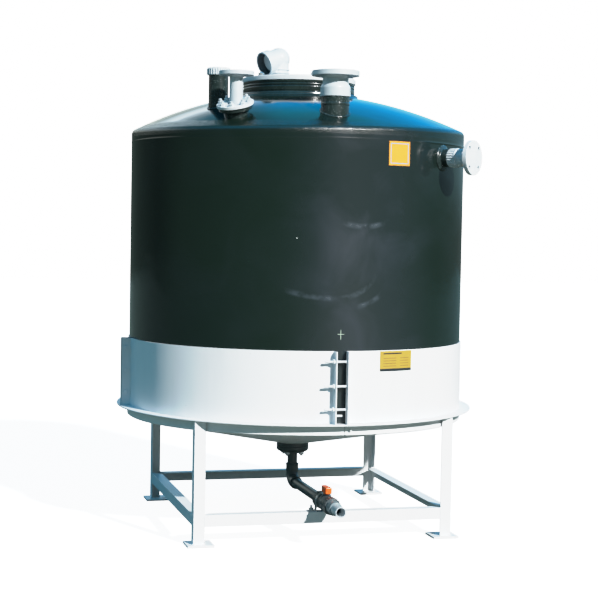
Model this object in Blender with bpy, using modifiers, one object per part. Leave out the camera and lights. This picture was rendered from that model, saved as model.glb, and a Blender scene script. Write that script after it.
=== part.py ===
"""Storage tank: a black polyethylene tank with a cone bottom, on a painted angle-steel stand.

The axis of the tank is Z, the ground is z = 0 and the valve looks along -Y. All sizes are in metres.
"""
import math

import bmesh
import bpy
from mathutils import Matrix, Vector

# Fits
GAP = 0.0003
FACET_GAP = 0.0005
CUT_OVER = 0.010
TURN_STEPS = 64
NECK_STEPS = 32

# Tank
TANK_R = 0.797
TANK_WALL = 0.012
SHELL_BASE_Z = 0.600
SHELL_TOP_Z = 1.802
SHOULDER_Z = 1.8486
SHOULDER_R = 0.045
CROWN_Z = 2.0484
CROWN_FALL = 3.740
SHOULDER_TANGENT = 0.3756
MANHOLE_R = 0.258
CORNER_Z = 0.545
CORNER_MID_Z = 0.530
CORNER_FOOT_Z = 0.5205

# Stand
RING_IN_R = TANK_R + GAP
RING_OUT_R = 0.853
RING_LOW_Z = 0.510
RING_TOP_Z = 0.5615
ANGLE_LEG = 0.050
ANGLE_THICK = 0.006
STAND_HALF = 0.600
BASE_PLATE_SIDE = 0.120
BASE_PLATE_THICK = 0.009
BASE_PLATE_OVERHANG = 0.030
RAIL_TOP_Z = 0.1375
RAIL_CHAMFER = 0.030
CONE_THICK = 0.0046
CONE_IN_R = 0.090
CONE_LOW_Z = 0.371
CONE_SLOPE = 0.1983

# Skirt of four rolled sheets with bent end flanges
SKIRT_THICK = 0.0045
SKIRT_TOP_Z = 0.878
SKIRT_FLANGE_R = 0.841
SKIRT_HALF_GAP = 0.025

# Manhole
NECK_R = 0.268
NECK_COLLAR_R = 0.285
NECK_COLLAR_Z = 2.040
NECK_LIP_R = 0.252
NECK_LIP_Z = 2.005
GROOVE_TOPS = (2.088, 2.066)
GROOVE_DEEP = 0.004
LID_R = 0.2725
LID_BASE_Z = 2.097
LID_TOP_Z = 2.120
LID_CHAMFER = 0.004

# Vent elbow on the lid
VENT_PLACE = (-0.0968, 0.0253)
VENT_AZIMUTH = math.radians(-152.0)
VENT_R = 0.049
VENT_BORE_R = 0.0445
VENT_CORNER_Z = 2.222
VENT_TURN = math.radians(116.0)
VENT_REACH = 0.089
VENT_MOUTH_R = 0.0565
VENT_MOUTH_WIDE = 0.030
VENT_FOOT_R = 0.054
VENT_FOOT_TOP_Z = 2.144

# Roof inlet, 100 mm bore
INLET_PLACE = (0.0, -0.640)
INLET_PIPE_R = 0.057
INLET_BORE_R = 0.0505
INLET_NECK_R = 0.0625
INLET_NUT_R = 0.0675
INLET_NECK_LOW_Z = 1.895
INLET_NECK_TOP_Z = 1.989
INLET_NUT_RISE = 0.055
INLET_NUT_CHAMFER = 0.013
INLET_FLANGE_R = 0.105
INLET_FLANGE_Z = 2.080
INLET_FLANGE_THICK = 0.022

# Flanged roof nozzle, 50 mm bore
FLANGED_PLACE = (-0.424, -0.535)
FLANGED_PIPE_R = 0.030
FLANGED_BORE_R = 0.0255
FLANGED_PIPE_LOW_Z = 1.890
FLANGED_PAD_R = 0.075
FLANGED_PAD_RISE = 0.020
FLANGED_PAD_FALL = 0.022
FLANGED_BASE_R = 0.0825
FLANGED_BASE_THICK = 0.013
FLANGED_TOP_R = 0.0775
FLANGED_TOP_Z = 2.075
FLANGED_TOP_THICK = 0.018

# Capped roof nozzle
CAPPED_PLACE = (-0.459, -0.314)
CAPPED_R = 0.0445
CAPPED_WALL = 0.008
CAPPED_LOW_Z = 1.940
CAPPED_TOP_Z = 2.093
CAP_R = 0.0535
CAP_HEIGHT = 0.034
CAP_CHAMFER = 0.004

# Side nozzle with a blank flange, 50 mm bore
SIDE_AZIMUTH = math.radians(-49.0)
SIDE_Z = 1.736
SIDE_NECK_R = 0.041
SIDE_NECK_LEN = 0.038
SIDE_BORE_R = 0.0255
SIDE_NUT_R = 0.0435
SIDE_NUT_LEN = 0.045
SIDE_PIPE_R = 0.036
SIDE_FLANGE_R = 0.0775
SIDE_FLANGE_FACE = 0.159
SIDE_FLANGE_THICK = 0.020

# Outlet and drain line, 40 mm bore
OUTLET_TOP_Z = 0.3785
OUTLET_FLANGE_R = 0.0775
OUTLET_JOINT_Z = 0.351
OUTLET_LOW_Z = 0.323
OUTLET_BORE_R = 0.025
DRAIN_Z = 0.180
DRAIN_PIPE_R = 0.024
DRAIN_BORE_R = 0.020
ELBOW_R = 0.030
ELBOW_REACH = 0.085
ELBOW_BEND_R = 0.045
SOCKET_STOP = 0.001

# Ball valve
VALVE_START = 0.510
VALVE_NUT_LEN = 0.050
VALVE_END = 0.720
VALVE_NUT_R = 0.040
VALVE_BODY_R = 0.035
VALVE_STEM_PLACE = 0.615
VALVE_BOSS_R = 0.020
VALVE_BOSS_TOP_Z = 0.2200
VALVE_SOCKET_LEN = 0.030
VALVE_BOSS_SINK = 0.006
NIPPLE_COLLAR_R = 0.031
NIPPLE_COLLAR_END = 0.775
NIPPLE_END = 0.850
HANDLE_LEN = 0.080
HANDLE_WIDE = 0.030
HANDLE_LOW_Z = 0.2245
HANDLE_TOP_Z = 0.2545
HANDLE_STEM_R = 0.010
CLAMP_START = 0.562
CLAMP_WIDE = 0.026
CLAMP_THICK = 0.004
CLAMP_HALF = 0.075

# Plates
PLATE_THICK = 0.0015
PLATE_AZIMUTH = math.radians(-70.4)
NAME_PLATE_WIDE = 0.173
NAME_PLATE_LOW_Z = 0.786
NAME_PLATE_TOP_Z = 0.875
LABEL_WIDE = 0.115
LABEL_LOW_Z = 1.690
LABEL_TOP_Z = 1.796

for leftover in list(bpy.data.objects):
    bpy.data.objects.remove(leftover, do_unlink=True)

parts = bpy.data.collections.new("storage_tank")
cutters = bpy.data.collections.new("cutters")
bpy.context.scene.collection.children.link(parts)
bpy.context.scene.collection.children.link(cutters)


def paint(name, colour, roughness, metallic=0.0):
    """A Principled BSDF material."""
    material = bpy.data.materials.new(name)
    material.use_nodes = True
    shader = material.node_tree.nodes["Principled BSDF"]
    shader.inputs["Base Color"].default_value = (*colour, 1.0)
    shader.inputs["Roughness"].default_value = roughness
    shader.inputs["Metallic"].default_value = metallic
    material.diffuse_color = (*colour, 1.0)
    return material


BLACK_PE = paint("black_polyethylene", (0.010, 0.014, 0.013), 0.18)
STEEL_PAINT = paint("stand_paint", (0.72, 0.75, 0.77), 0.40)
GREY_PVC = paint("grey_pvc", (0.55, 0.62, 0.64), 0.45)
BLACK_PVC = paint("black_pvc", (0.020, 0.030, 0.030), 0.30)
ORANGE_ABS = paint("orange_abs", (0.80, 0.22, 0.03), 0.35)
YELLOW_PLATE = paint("yellow_plate", (0.85, 0.62, 0.06), 0.45)
ZINC = paint("zinc_plate", (0.55, 0.56, 0.57), 0.35, 1.0)


def add(name, data, material, home=parts):
    """Links a new object for a mesh or curve and gives it its material."""
    thing = bpy.data.objects.new(name, data)
    home.objects.link(thing)
    if material is not None:
        data.materials.append(material)
    return thing


def as_cutter(thing):
    """Moves an object to the cutters, shown as wire and never rendered."""
    parts.objects.unlink(thing)
    cutters.objects.link(thing)
    thing.hide_render = True
    thing.display_type = "WIRE"
    return thing


def turned(name, profile, material, steps=TURN_STEPS, closed=True):
    """A profile of (radius, height) points turned about Z. It runs down its outer side first."""
    mesh = bpy.data.meshes.new(name)
    points = [(radius, 0.0, height) for radius, height in profile]
    edges = [(i, i + 1) for i in range(len(points) - 1)]
    if closed:
        edges.append((len(points) - 1, 0))
    mesh.from_pydata(points, edges, [])
    thing = add(name, mesh, material)
    screw = thing.modifiers.new("turn", "SCREW")
    screw.steps = steps
    screw.render_steps = steps
    screw.use_merge_vertices = True
    screw.merge_threshold = 0.00005
    screw.use_smooth_shade = False
    return thing


def tube(name, outer, inner, low, high, material, steps=32):
    """A straight pipe about Z."""
    profile = [(outer, high), (outer, low), (inner, low), (inner, high)]
    return turned(name, profile, material, steps)


def rod(name, radius, low, high, material=None, steps=32):
    """A solid round bar about Z."""
    mesh = bpy.data.meshes.new(name)
    shape = bmesh.new()
    bmesh.ops.create_cone(shape, cap_ends=True, segments=steps, radius1=radius, radius2=radius,
                          depth=high - low)
    bmesh.ops.translate(shape, verts=shape.verts, vec=(0.0, 0.0, (high + low) / 2))
    shape.to_mesh(mesh)
    shape.free()
    return add(name, mesh, material)


def block(name, low, high, material=None):
    """A box from its lowest to its highest corner."""
    mesh = bpy.data.meshes.new(name)
    shape = bmesh.new()
    bmesh.ops.create_cube(shape, size=1.0)
    size = [high[i] - low[i] for i in range(3)]
    middle = [(high[i] + low[i]) / 2 for i in range(3)]
    bmesh.ops.scale(shape, verts=shape.verts, vec=size)
    bmesh.ops.translate(shape, verts=shape.verts, vec=middle)
    shape.to_mesh(mesh)
    shape.free()
    return add(name, mesh, material)


def prism(name, outline, low, high, material):
    """A flat outline in X and Y, run from one height to another."""
    curve = bpy.data.curves.new(name, "CURVE")
    curve.dimensions = "2D"
    curve.fill_mode = "BOTH"
    curve.extrude = (high - low) / 2
    spline = curve.splines.new("POLY")
    spline.points.add(len(outline) - 1)
    for point, (x, y) in zip(spline.points, outline):
        point.co = (x, y, 0.0, 1.0)
    spline.use_cyclic_u = True
    thing = add(name, curve, material)
    thing.matrix_world = Matrix.Translation((0.0, 0.0, (high + low) / 2))
    return thing


def swept(name, route, radius, material=None):
    """A round bar along a route of points."""
    curve = bpy.data.curves.new(name, "CURVE")
    curve.dimensions = "3D"
    curve.bevel_depth = radius
    curve.bevel_resolution = 4
    curve.use_fill_caps = True
    spline = curve.splines.new("POLY")
    spline.points.add(len(route) - 1)
    for point, place in zip(spline.points, route):
        point.co = (*place, 1.0)
    return add(name, curve, material)


def meshed(thing):
    """The object as a mesh object with its modifiers applied and its caps welded."""
    bpy.context.view_layer.update()
    graph = bpy.context.evaluated_depsgraph_get()
    mesh = bpy.data.meshes.new_from_object(thing.evaluated_get(graph))
    shape = bmesh.new()
    shape.from_mesh(mesh)
    bmesh.ops.remove_doubles(shape, verts=shape.verts, dist=0.00002)
    shape.to_mesh(mesh)
    shape.free()
    name = thing.name
    matrix = thing.matrix_world.copy()
    home = thing.users_collection[0]
    bpy.data.objects.remove(thing, do_unlink=True)
    solid = bpy.data.objects.new(name, mesh)
    solid.matrix_world = matrix
    home.objects.link(solid)
    return solid


def boolean(thing, other, operation="DIFFERENCE"):
    """Cuts another object from this one, or joins it on."""
    modifier = thing.modifiers.new(operation.lower(), "BOOLEAN")
    modifier.operation = operation
    modifier.object = as_cutter(other)
    return thing


def place(thing, matrix):
    """Moves an object by a matrix in world space."""
    thing.matrix_world = matrix @ thing.matrix_world
    return thing


def at(x, y, z=0.0):
    """The matrix that moves to a place."""
    return Matrix.Translation((x, y, z))


def turned_by(angle, axis="Z"):
    """The matrix that turns about one axis."""
    return Matrix.Rotation(angle, 4, axis)


def copies(thing, names, angle=math.pi / 2):
    """The object and its copies, each turned by one more angle about Z, under new names."""
    first = meshed(thing)
    matrix = first.matrix_world.copy()
    for index, name in enumerate(names[1:], start=1):
        twin = add(name, first.data, None)
        twin.matrix_world = turned_by(index * angle) @ matrix
    first.name = names[0]
    return first


def facet_radius(radius, azimuth):
    """The radius of a turned surface at an azimuth, with its flat facets."""
    step = 2 * math.pi / TURN_STEPS
    within = azimuth % step - step / 2
    return radius * math.cos(step / 2) / math.cos(within)


def crown_z(radius):
    """The height of the outside of the roof at a radius."""
    return CROWN_Z - radius * radius / CROWN_FALL


def cone_top_z(radius):
    """The height of the upper side of the steel cone at a radius."""
    return CONE_LOW_Z + CONE_SLOPE * (radius - CONE_IN_R) + CONE_THICK


def ground_pieces():
    """Four base plates, four angle legs and four angle rails."""
    outer = STAND_HALF + BASE_PLATE_OVERHANG
    inner = outer - BASE_PLATE_SIDE
    corners = ("front_left", "front_right", "back_right", "back_left")
    plate = block("base_plate", (-outer, -outer, 0.0), (-inner, -inner, BASE_PLATE_THICK), STEEL_PAINT)
    copies(plate, ["base_plate_" + corner for corner in corners])

    heel = -STAND_HALF
    tip = heel + ANGLE_LEG
    back = heel + ANGLE_THICK
    outline = [(heel, heel), (tip, heel), (tip, back), (back, back), (back, tip), (heel, tip)]
    leg_top = RING_TOP_Z - ANGLE_THICK - GAP
    leg = prism("leg", outline, BASE_PLATE_THICK + GAP, leg_top, STEEL_PAINT)
    copies(leg, ["leg_" + corner for corner in corners])

    half = -tip - GAP
    low = RAIL_TOP_Z - ANGLE_LEG
    under = RAIL_TOP_Z - ANGLE_THICK
    section = [(heel, low), (back, low), (back, under), (tip, under), (tip, RAIL_TOP_Z), (heel, RAIL_TOP_Z)]
    rail = prism("rail", section, -half, half, STEEL_PAINT)
    rail.matrix_world = Matrix(((0, 0, 1, 0), (1, 0, 0, 0), (0, 1, 0, 0), (0, 0, 0, 1)))
    rail = meshed(rail)
    reach = RAIL_CHAMFER
    for side in (-1, 1):
        past = half + CUT_OVER
        corner = [(side * (half - reach - CUT_OVER), tip + CUT_OVER), (side * past, tip - reach - CUT_OVER),
                  (side * past, tip + CUT_OVER)]
        if side < 0:
            corner.reverse()
        wedge = meshed(prism("rail_chamfer", corner, under - CUT_OVER, RAIL_TOP_Z + CUT_OVER, STEEL_PAINT))
        boolean(rail, wedge)
    copies(rail, ["rail_" + side for side in ("front", "right", "back", "left")])


def ring_and_cone():
    """The rolled angle ring with its flange outward, and the sheet cone that carries the tank."""
    under = RING_TOP_Z - ANGLE_THICK
    web = RING_IN_R + ANGLE_THICK
    profile = [(RING_OUT_R, RING_TOP_Z), (RING_OUT_R, under), (web, under), (web, RING_LOW_Z),
               (RING_IN_R, RING_LOW_Z), (RING_IN_R, RING_TOP_Z)]
    turned("ring_angle", profile, STEEL_PAINT)

    rim = RING_IN_R - GAP
    profile = [(rim, cone_top_z(rim)), (rim, cone_top_z(rim) - CONE_THICK),
               (CONE_IN_R, cone_top_z(CONE_IN_R) - CONE_THICK), (CONE_IN_R, cone_top_z(CONE_IN_R))]
    turned("support_cone", profile, STEEL_PAINT)


def skirt():
    """Four quarter sheets round the foot of the tank, bent outward at their ends."""
    inner_r = TANK_R + GAP
    outer_r = inner_r + SKIRT_THICK
    step = 2 * math.pi / TURN_STEPS
    near = SKIRT_HALF_GAP
    far = SKIRT_HALF_GAP + SKIRT_THICK

    def chord_y(radius, x):
        """How far out the faceted circle lies at a small sideways place x."""
        return radius - x * math.tan(step / 2)

    turns = [-math.pi / 2 + step * i for i in range(1, TURN_STEPS // 4)]
    outer = [(outer_r * math.cos(a), outer_r * math.sin(a)) for a in turns]
    inner = [(inner_r * math.cos(a), inner_r * math.sin(a)) for a in reversed(turns)]
    outline = [(near, -chord_y(inner_r, near)), (near, -SKIRT_FLANGE_R), (far, -SKIRT_FLANGE_R),
               (far, -chord_y(outer_r, far))]
    outline += outer
    outline += [(chord_y(outer_r, far), -far), (SKIRT_FLANGE_R, -far), (SKIRT_FLANGE_R, -near),
                (chord_y(inner_r, near), -near)]
    outline += inner
    sheet = prism("skirt", outline, RING_TOP_Z + GAP, SKIRT_TOP_Z, STEEL_PAINT)
    names = ["skirt_" + corner for corner in ("front_right", "back_right", "back_left", "front_left")]
    copies(sheet, names)


def tank():
    """The shell, the cone bottom and the domed roof with its holes for the nozzles."""
    inner_r = TANK_R - TANK_WALL
    profile = [(TANK_R, SHELL_TOP_Z), (TANK_R, SHELL_BASE_Z), (inner_r, SHELL_BASE_Z), (inner_r, SHELL_TOP_Z)]
    shell = turned("tank_shell", profile, BLACK_PE)
    hole = rod("side_hole", SIDE_NECK_R + GAP, TANK_R - 0.080, TANK_R + 0.020)
    place(hole, at(0, 0, SIDE_Z) @ turned_by(SIDE_AZIMUTH) @ turned_by(math.pi / 2, "Y"))
    boolean(shell, hole)

    def bottom_z(radius):
        return cone_top_z(radius) + GAP

    edge = SHELL_BASE_Z - GAP
    rise = TANK_WALL + FACET_GAP
    flat_r = CONE_IN_R + (OUTLET_TOP_Z - bottom_z(CONE_IN_R)) / CONE_SLOPE
    profile = [(TANK_R, edge), (TANK_R, CORNER_Z), (TANK_R - 0.0035, CORNER_MID_Z),
               (TANK_R - 0.012, CORNER_FOOT_Z),
               (TANK_R - 0.027, bottom_z(TANK_R - 0.027)), (flat_r, OUTLET_TOP_Z),
               (OUTLET_BORE_R, OUTLET_TOP_Z), (OUTLET_BORE_R, OUTLET_TOP_Z + rise),
               (TANK_R - 0.037, bottom_z(TANK_R - 0.037) + rise), (inner_r - 0.010, CORNER_MID_Z + 0.003),
               (inner_r, CORNER_Z + 0.003), (inner_r, edge)]
    turned("tank_bottom", profile, BLACK_PE)

    roof = turned("tank_roof", roof_profile(), BLACK_PE)
    for number, (spot, radius) in enumerate(((INLET_PLACE, INLET_NECK_R), (CAPPED_PLACE, CAPPED_R))):
        hole = rod("roof_hole_%d" % number, radius + GAP, SHELL_TOP_Z, LID_TOP_Z)
        place(hole, at(*spot))
        boolean(roof, hole)
    hole = rod("pad_hole", FLANGED_PAD_R + GAP, -0.060, 0.060)
    place(hole, pad_frame())
    boolean(roof, hole)


def roof_profile():
    """The shoulder and crown of the roof, down its outside and back up its inside."""
    centre_r = TANK_R - SHOULDER_R
    tangent_r = centre_r + SHOULDER_R * SHOULDER_TANGENT
    slope = math.atan(2 * tangent_r / CROWN_FALL)
    rings = (MANHOLE_R + GAP, 0.40, 0.53, 0.65)
    inner_rings = (MANHOLE_R + GAP, 0.45, 0.65)
    bends = [slope + (math.pi / 2 - slope) * i / 4 for i in range(5)]
    outside = [(r, crown_z(r)) for r in rings]
    outside += [(centre_r + SHOULDER_R * math.sin(a), SHOULDER_Z + SHOULDER_R * math.cos(a)) for a in bends]
    outside.append((TANK_R, SHELL_TOP_Z + GAP))
    inner_bend = SHOULDER_R - TANK_WALL
    inside = [(TANK_R - TANK_WALL, SHELL_TOP_Z + GAP)]
    inside += [(centre_r + inner_bend * math.sin(a), SHOULDER_Z + inner_bend * math.cos(a))
               for a in reversed(bends[::2])]
    inside += [(r, crown_z(r) - TANK_WALL) for r in reversed(inner_rings)]
    return outside + inside


def pad_frame():
    """The frame of the flanged nozzle's pad: its Z is square to the roof."""
    x, y = FLANGED_PLACE
    radius = math.hypot(x, y)
    azimuth = math.atan2(y, x)
    tilt = math.atan(2 * radius / CROWN_FALL)
    return at(x, y, crown_z(radius)) @ turned_by(azimuth) @ turned_by(tilt, "Y")


def manhole():
    """The grooved neck, the lid and the vent elbow that stands on the lid."""
    deep = NECK_R - GROOVE_DEEP
    profile = [(NECK_R, LID_BASE_Z - GAP)]
    for groove_z in GROOVE_TOPS:
        profile += [(NECK_R, groove_z), (deep, groove_z - 0.002), (deep, groove_z - 0.008),
                    (NECK_R, groove_z - 0.010)]
    profile += [(NECK_R, NECK_COLLAR_Z + 0.004), (NECK_COLLAR_R, NECK_COLLAR_Z),
                (NECK_COLLAR_R, crown_z(NECK_COLLAR_R) + FACET_GAP),
                (MANHOLE_R, crown_z(MANHOLE_R) + FACET_GAP),
                (MANHOLE_R, NECK_LIP_Z), (NECK_LIP_R, NECK_LIP_Z), (NECK_LIP_R, LID_BASE_Z - GAP)]
    turned("manhole_neck", profile, BLACK_PE, NECK_STEPS)

    profile = [(0.0, LID_TOP_Z), (LID_R - LID_CHAMFER, LID_TOP_Z), (LID_R, LID_TOP_Z - LID_CHAMFER),
               (LID_R, LID_BASE_Z), (0.0, LID_BASE_Z)]
    lid = turned("manhole_lid", profile, GREY_PVC, NECK_STEPS, closed=False)
    hole = rod("vent_hole", VENT_BORE_R, LID_BASE_Z - CUT_OVER, LID_TOP_Z + CUT_OVER)
    place(hole, at(*VENT_PLACE))
    boolean(lid, hole)

    base = LID_TOP_Z + GAP
    elbow = short_elbow("vent_elbow", VENT_R, base, VENT_REACH - GAP, GREY_PVC)
    collar = rod("vent_collar", VENT_MOUTH_R, VENT_REACH - VENT_MOUTH_WIDE, VENT_REACH)
    place(collar, at(0, 0, VENT_CORNER_Z) @ turned_by(VENT_TURN, "Y"))
    foot = rod("vent_foot", VENT_FOOT_R, base, VENT_FOOT_TOP_Z)
    bore = short_elbow("vent_bore", VENT_BORE_R, base - CUT_OVER, VENT_REACH + CUT_OVER)
    stand = at(*VENT_PLACE) @ turned_by(VENT_AZIMUTH)
    for thing in (elbow, collar, foot, bore):
        place(thing, stand)
    boolean(elbow, collar, "UNION")
    boolean(elbow, foot, "UNION")
    boolean(elbow, bore)


def short_elbow(name, radius, low, reach, material=None, steps=32, bends=8):
    """A round bar that stands on Z, turns at a ball-shaped corner and runs on toward the mouth."""
    corner = Vector((0.0, 0.0, VENT_CORNER_Z))
    half_turn = math.tan(VENT_TURN / 2)

    def ring(turn, along=None):
        """Points round the bar. At the corner their inner half lies on the mitre of the two runs."""
        outward = Vector((-math.cos(turn), 0.0, math.sin(turn)))
        onward = Vector((math.sin(turn), 0.0, math.cos(turn)))
        points = []
        for index in range(steps):
            angle = 2 * math.pi * index / steps
            out = radius * math.cos(angle)
            side = Vector((0.0, radius * math.sin(angle), 0.0))
            if along is not None:
                points.append(corner + outward * out + side + onward * along)
            elif out < 0:
                points.append(corner + Vector((-out, 0.0, out * half_turn)) + side)
            else:
                points.append(corner + outward * out + side)
        return points

    rings = [ring(0.0, low - VENT_CORNER_Z)]
    rings += [ring(VENT_TURN * index / bends) for index in range(bends + 1)]
    rings.append(ring(VENT_TURN, reach))
    mesh = bpy.data.meshes.new(name)
    shape = bmesh.new()
    known = {}

    def vertex(point):
        key = tuple(round(value, 6) + 0.0 for value in point)
        if key not in known:
            known[key] = shape.verts.new(point)
        return known[key]

    for first, second in zip(rings, rings[1:]):
        for index in range(steps):
            after = (index + 1) % steps
            around = (first[index], first[after], second[after], second[index])
            corners = list(dict.fromkeys(vertex(point) for point in around))
            if len(corners) > 2:
                shape.faces.new(corners)
    for end in (rings[0], rings[-1]):
        shape.faces.new([vertex(point) for point in end])
    bmesh.ops.recalc_face_normals(shape, faces=shape.faces)
    shape.to_mesh(mesh)
    shape.free()
    return add(name, mesh, material)


def roof_inlet():
    """The flanged inlet at the front of the roof: neck, union nut, and pipe with its flange."""
    top = INLET_NECK_TOP_Z
    neck = tube("inlet_neck", INLET_NECK_R, INLET_BORE_R, INLET_NECK_LOW_Z, top, BLACK_PE)
    nut_top = top + INLET_NUT_RISE
    profile = [(INLET_PIPE_R + 0.002, nut_top), (INLET_NUT_R, nut_top - INLET_NUT_CHAMFER),
               (INLET_NUT_R, top + GAP), (INLET_PIPE_R + GAP, top + GAP), (INLET_PIPE_R + GAP, nut_top)]
    nut = turned("inlet_union_nut", profile, GREY_PVC, 32)
    flange_top = INLET_FLANGE_Z + INLET_FLANGE_THICK
    profile = [(INLET_FLANGE_R, flange_top), (INLET_FLANGE_R, INLET_FLANGE_Z), (INLET_PIPE_R, INLET_FLANGE_Z),
               (INLET_PIPE_R, top + GAP), (INLET_BORE_R, top + GAP), (INLET_BORE_R, flange_top)]
    pipe = turned("inlet_flange_pipe", profile, GREY_PVC, 32)
    for thing in (neck, nut, pipe):
        place(thing, at(*INLET_PLACE))


def flanged_nozzle():
    """The smaller flanged nozzle: a pad and a bolted flange square to the roof, and an upright pipe."""
    x, y = FLANGED_PLACE
    base_low = FLANGED_PAD_RISE + GAP
    pad = rod("flanged_nozzle_pad", FLANGED_PAD_R, -FLANGED_PAD_FALL, FLANGED_PAD_RISE, BLACK_PE)
    base = rod("flanged_nozzle_base", FLANGED_BASE_R, base_low, base_low + FLANGED_BASE_THICK, GREY_PVC)
    top = FLANGED_TOP_Z + FLANGED_TOP_THICK
    profile = [(FLANGED_TOP_R, top), (FLANGED_TOP_R, FLANGED_TOP_Z), (FLANGED_PIPE_R, FLANGED_TOP_Z),
               (FLANGED_PIPE_R, FLANGED_PIPE_LOW_Z), (FLANGED_BORE_R, FLANGED_PIPE_LOW_Z),
               (FLANGED_BORE_R, top)]
    pipe = turned("flanged_nozzle_pipe", profile, GREY_PVC, 32)
    place(pipe, at(x, y))
    for number, thing in enumerate((pad, base)):
        place(thing, pad_frame())
        hole = rod("pipe_hole_%d" % number, FLANGED_PIPE_R + GAP, SHELL_TOP_Z, LID_TOP_Z)
        place(hole, at(x, y))
        boolean(thing, hole)


def capped_nozzle():
    """The nozzle behind it, closed by a screwed cap."""
    neck = tube("capped_nozzle_neck", CAPPED_R, CAPPED_R - CAPPED_WALL, CAPPED_LOW_Z, CAPPED_TOP_Z, BLACK_PE)
    low = CAPPED_TOP_Z + GAP
    top = low + CAP_HEIGHT
    profile = [(0.0, top), (CAP_R - CAP_CHAMFER, top), (CAP_R, top - CAP_CHAMFER), (CAP_R, low), (0.0, low)]
    cap = turned("capped_nozzle_cap", profile, GREY_PVC, 32, closed=False)
    for thing in (neck, cap):
        place(thing, at(*CAPPED_PLACE))


def side_nozzle():
    """The nozzle high on the wall: neck, union nut, and pipe with a blank flange."""
    neck_end = TANK_R + SIDE_NECK_LEN
    nut_end = neck_end + SIDE_NUT_LEN
    face = TANK_R + SIDE_FLANGE_FACE
    root = TANK_R - TANK_WALL - 0.008
    neck = tube("side_nozzle_neck", SIDE_NECK_R, SIDE_BORE_R, root, neck_end, BLACK_PE)
    nut = tube("side_nozzle_union_nut", SIDE_NUT_R, SIDE_PIPE_R + GAP, neck_end + GAP, nut_end, GREY_PVC)
    back = face - SIDE_FLANGE_THICK
    profile = [(0.0, face), (SIDE_FLANGE_R, face), (SIDE_FLANGE_R, back), (SIDE_PIPE_R + 0.004, back),
               (SIDE_PIPE_R + 0.004, nut_end + GAP), (SIDE_PIPE_R, nut_end + GAP),
               (SIDE_PIPE_R, neck_end + GAP), (SIDE_BORE_R, neck_end + GAP), (SIDE_BORE_R, back), (0.0, back)]
    flange = turned("side_nozzle_blank_flange", profile, GREY_PVC, 32, closed=False)
    for thing in (neck, nut, flange):
        place(thing, at(0, 0, SIDE_Z) @ turned_by(SIDE_AZIMUTH) @ turned_by(math.pi / 2, "Y"))


def outlet():
    """The flange pair under the cone, the drop pipe and the elbow."""
    joint = OUTLET_JOINT_Z
    tube("outlet_flange_tank", OUTLET_FLANGE_R, OUTLET_BORE_R, joint, OUTLET_TOP_Z - GAP, BLACK_PVC)
    tube("outlet_flange_pipe", OUTLET_FLANGE_R, DRAIN_PIPE_R + GAP, OUTLET_LOW_Z, joint - GAP, BLACK_PVC)
    bend_z = DRAIN_Z + ELBOW_BEND_R
    socket = DRAIN_PIPE_R + GAP
    tube("drop_pipe", DRAIN_PIPE_R, DRAIN_BORE_R, bend_z + SOCKET_STOP + GAP, joint - SOCKET_STOP, BLACK_PVC)

    centre = Vector((0.0, -ELBOW_BEND_R, bend_z))
    turns = [math.pi / 2 * i / 6 for i in range(7)]
    arc = [centre + ELBOW_BEND_R * Vector((0.0, math.cos(t), -math.sin(t))) for t in turns]
    top = Vector((0.0, 0.0, DRAIN_Z + ELBOW_REACH))
    front = Vector((0.0, -ELBOW_REACH, DRAIN_Z))
    elbow = meshed(swept("drain_elbow", [top] + arc + [front], ELBOW_R, BLACK_PVC))
    bore = meshed(swept("elbow_bore", [top] + arc + [front], DRAIN_BORE_R))
    upper = rod("elbow_socket_up", socket, bend_z + SOCKET_STOP, DRAIN_Z + ELBOW_REACH + CUT_OVER)
    lower = rod("elbow_socket_out", socket, ELBOW_BEND_R + SOCKET_STOP, ELBOW_REACH + CUT_OVER)
    place(lower, at(0, 0, DRAIN_Z) @ turned_by(math.pi / 2, "X"))
    for cutter in (bore, upper, lower):
        boolean(elbow, cutter)


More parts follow.
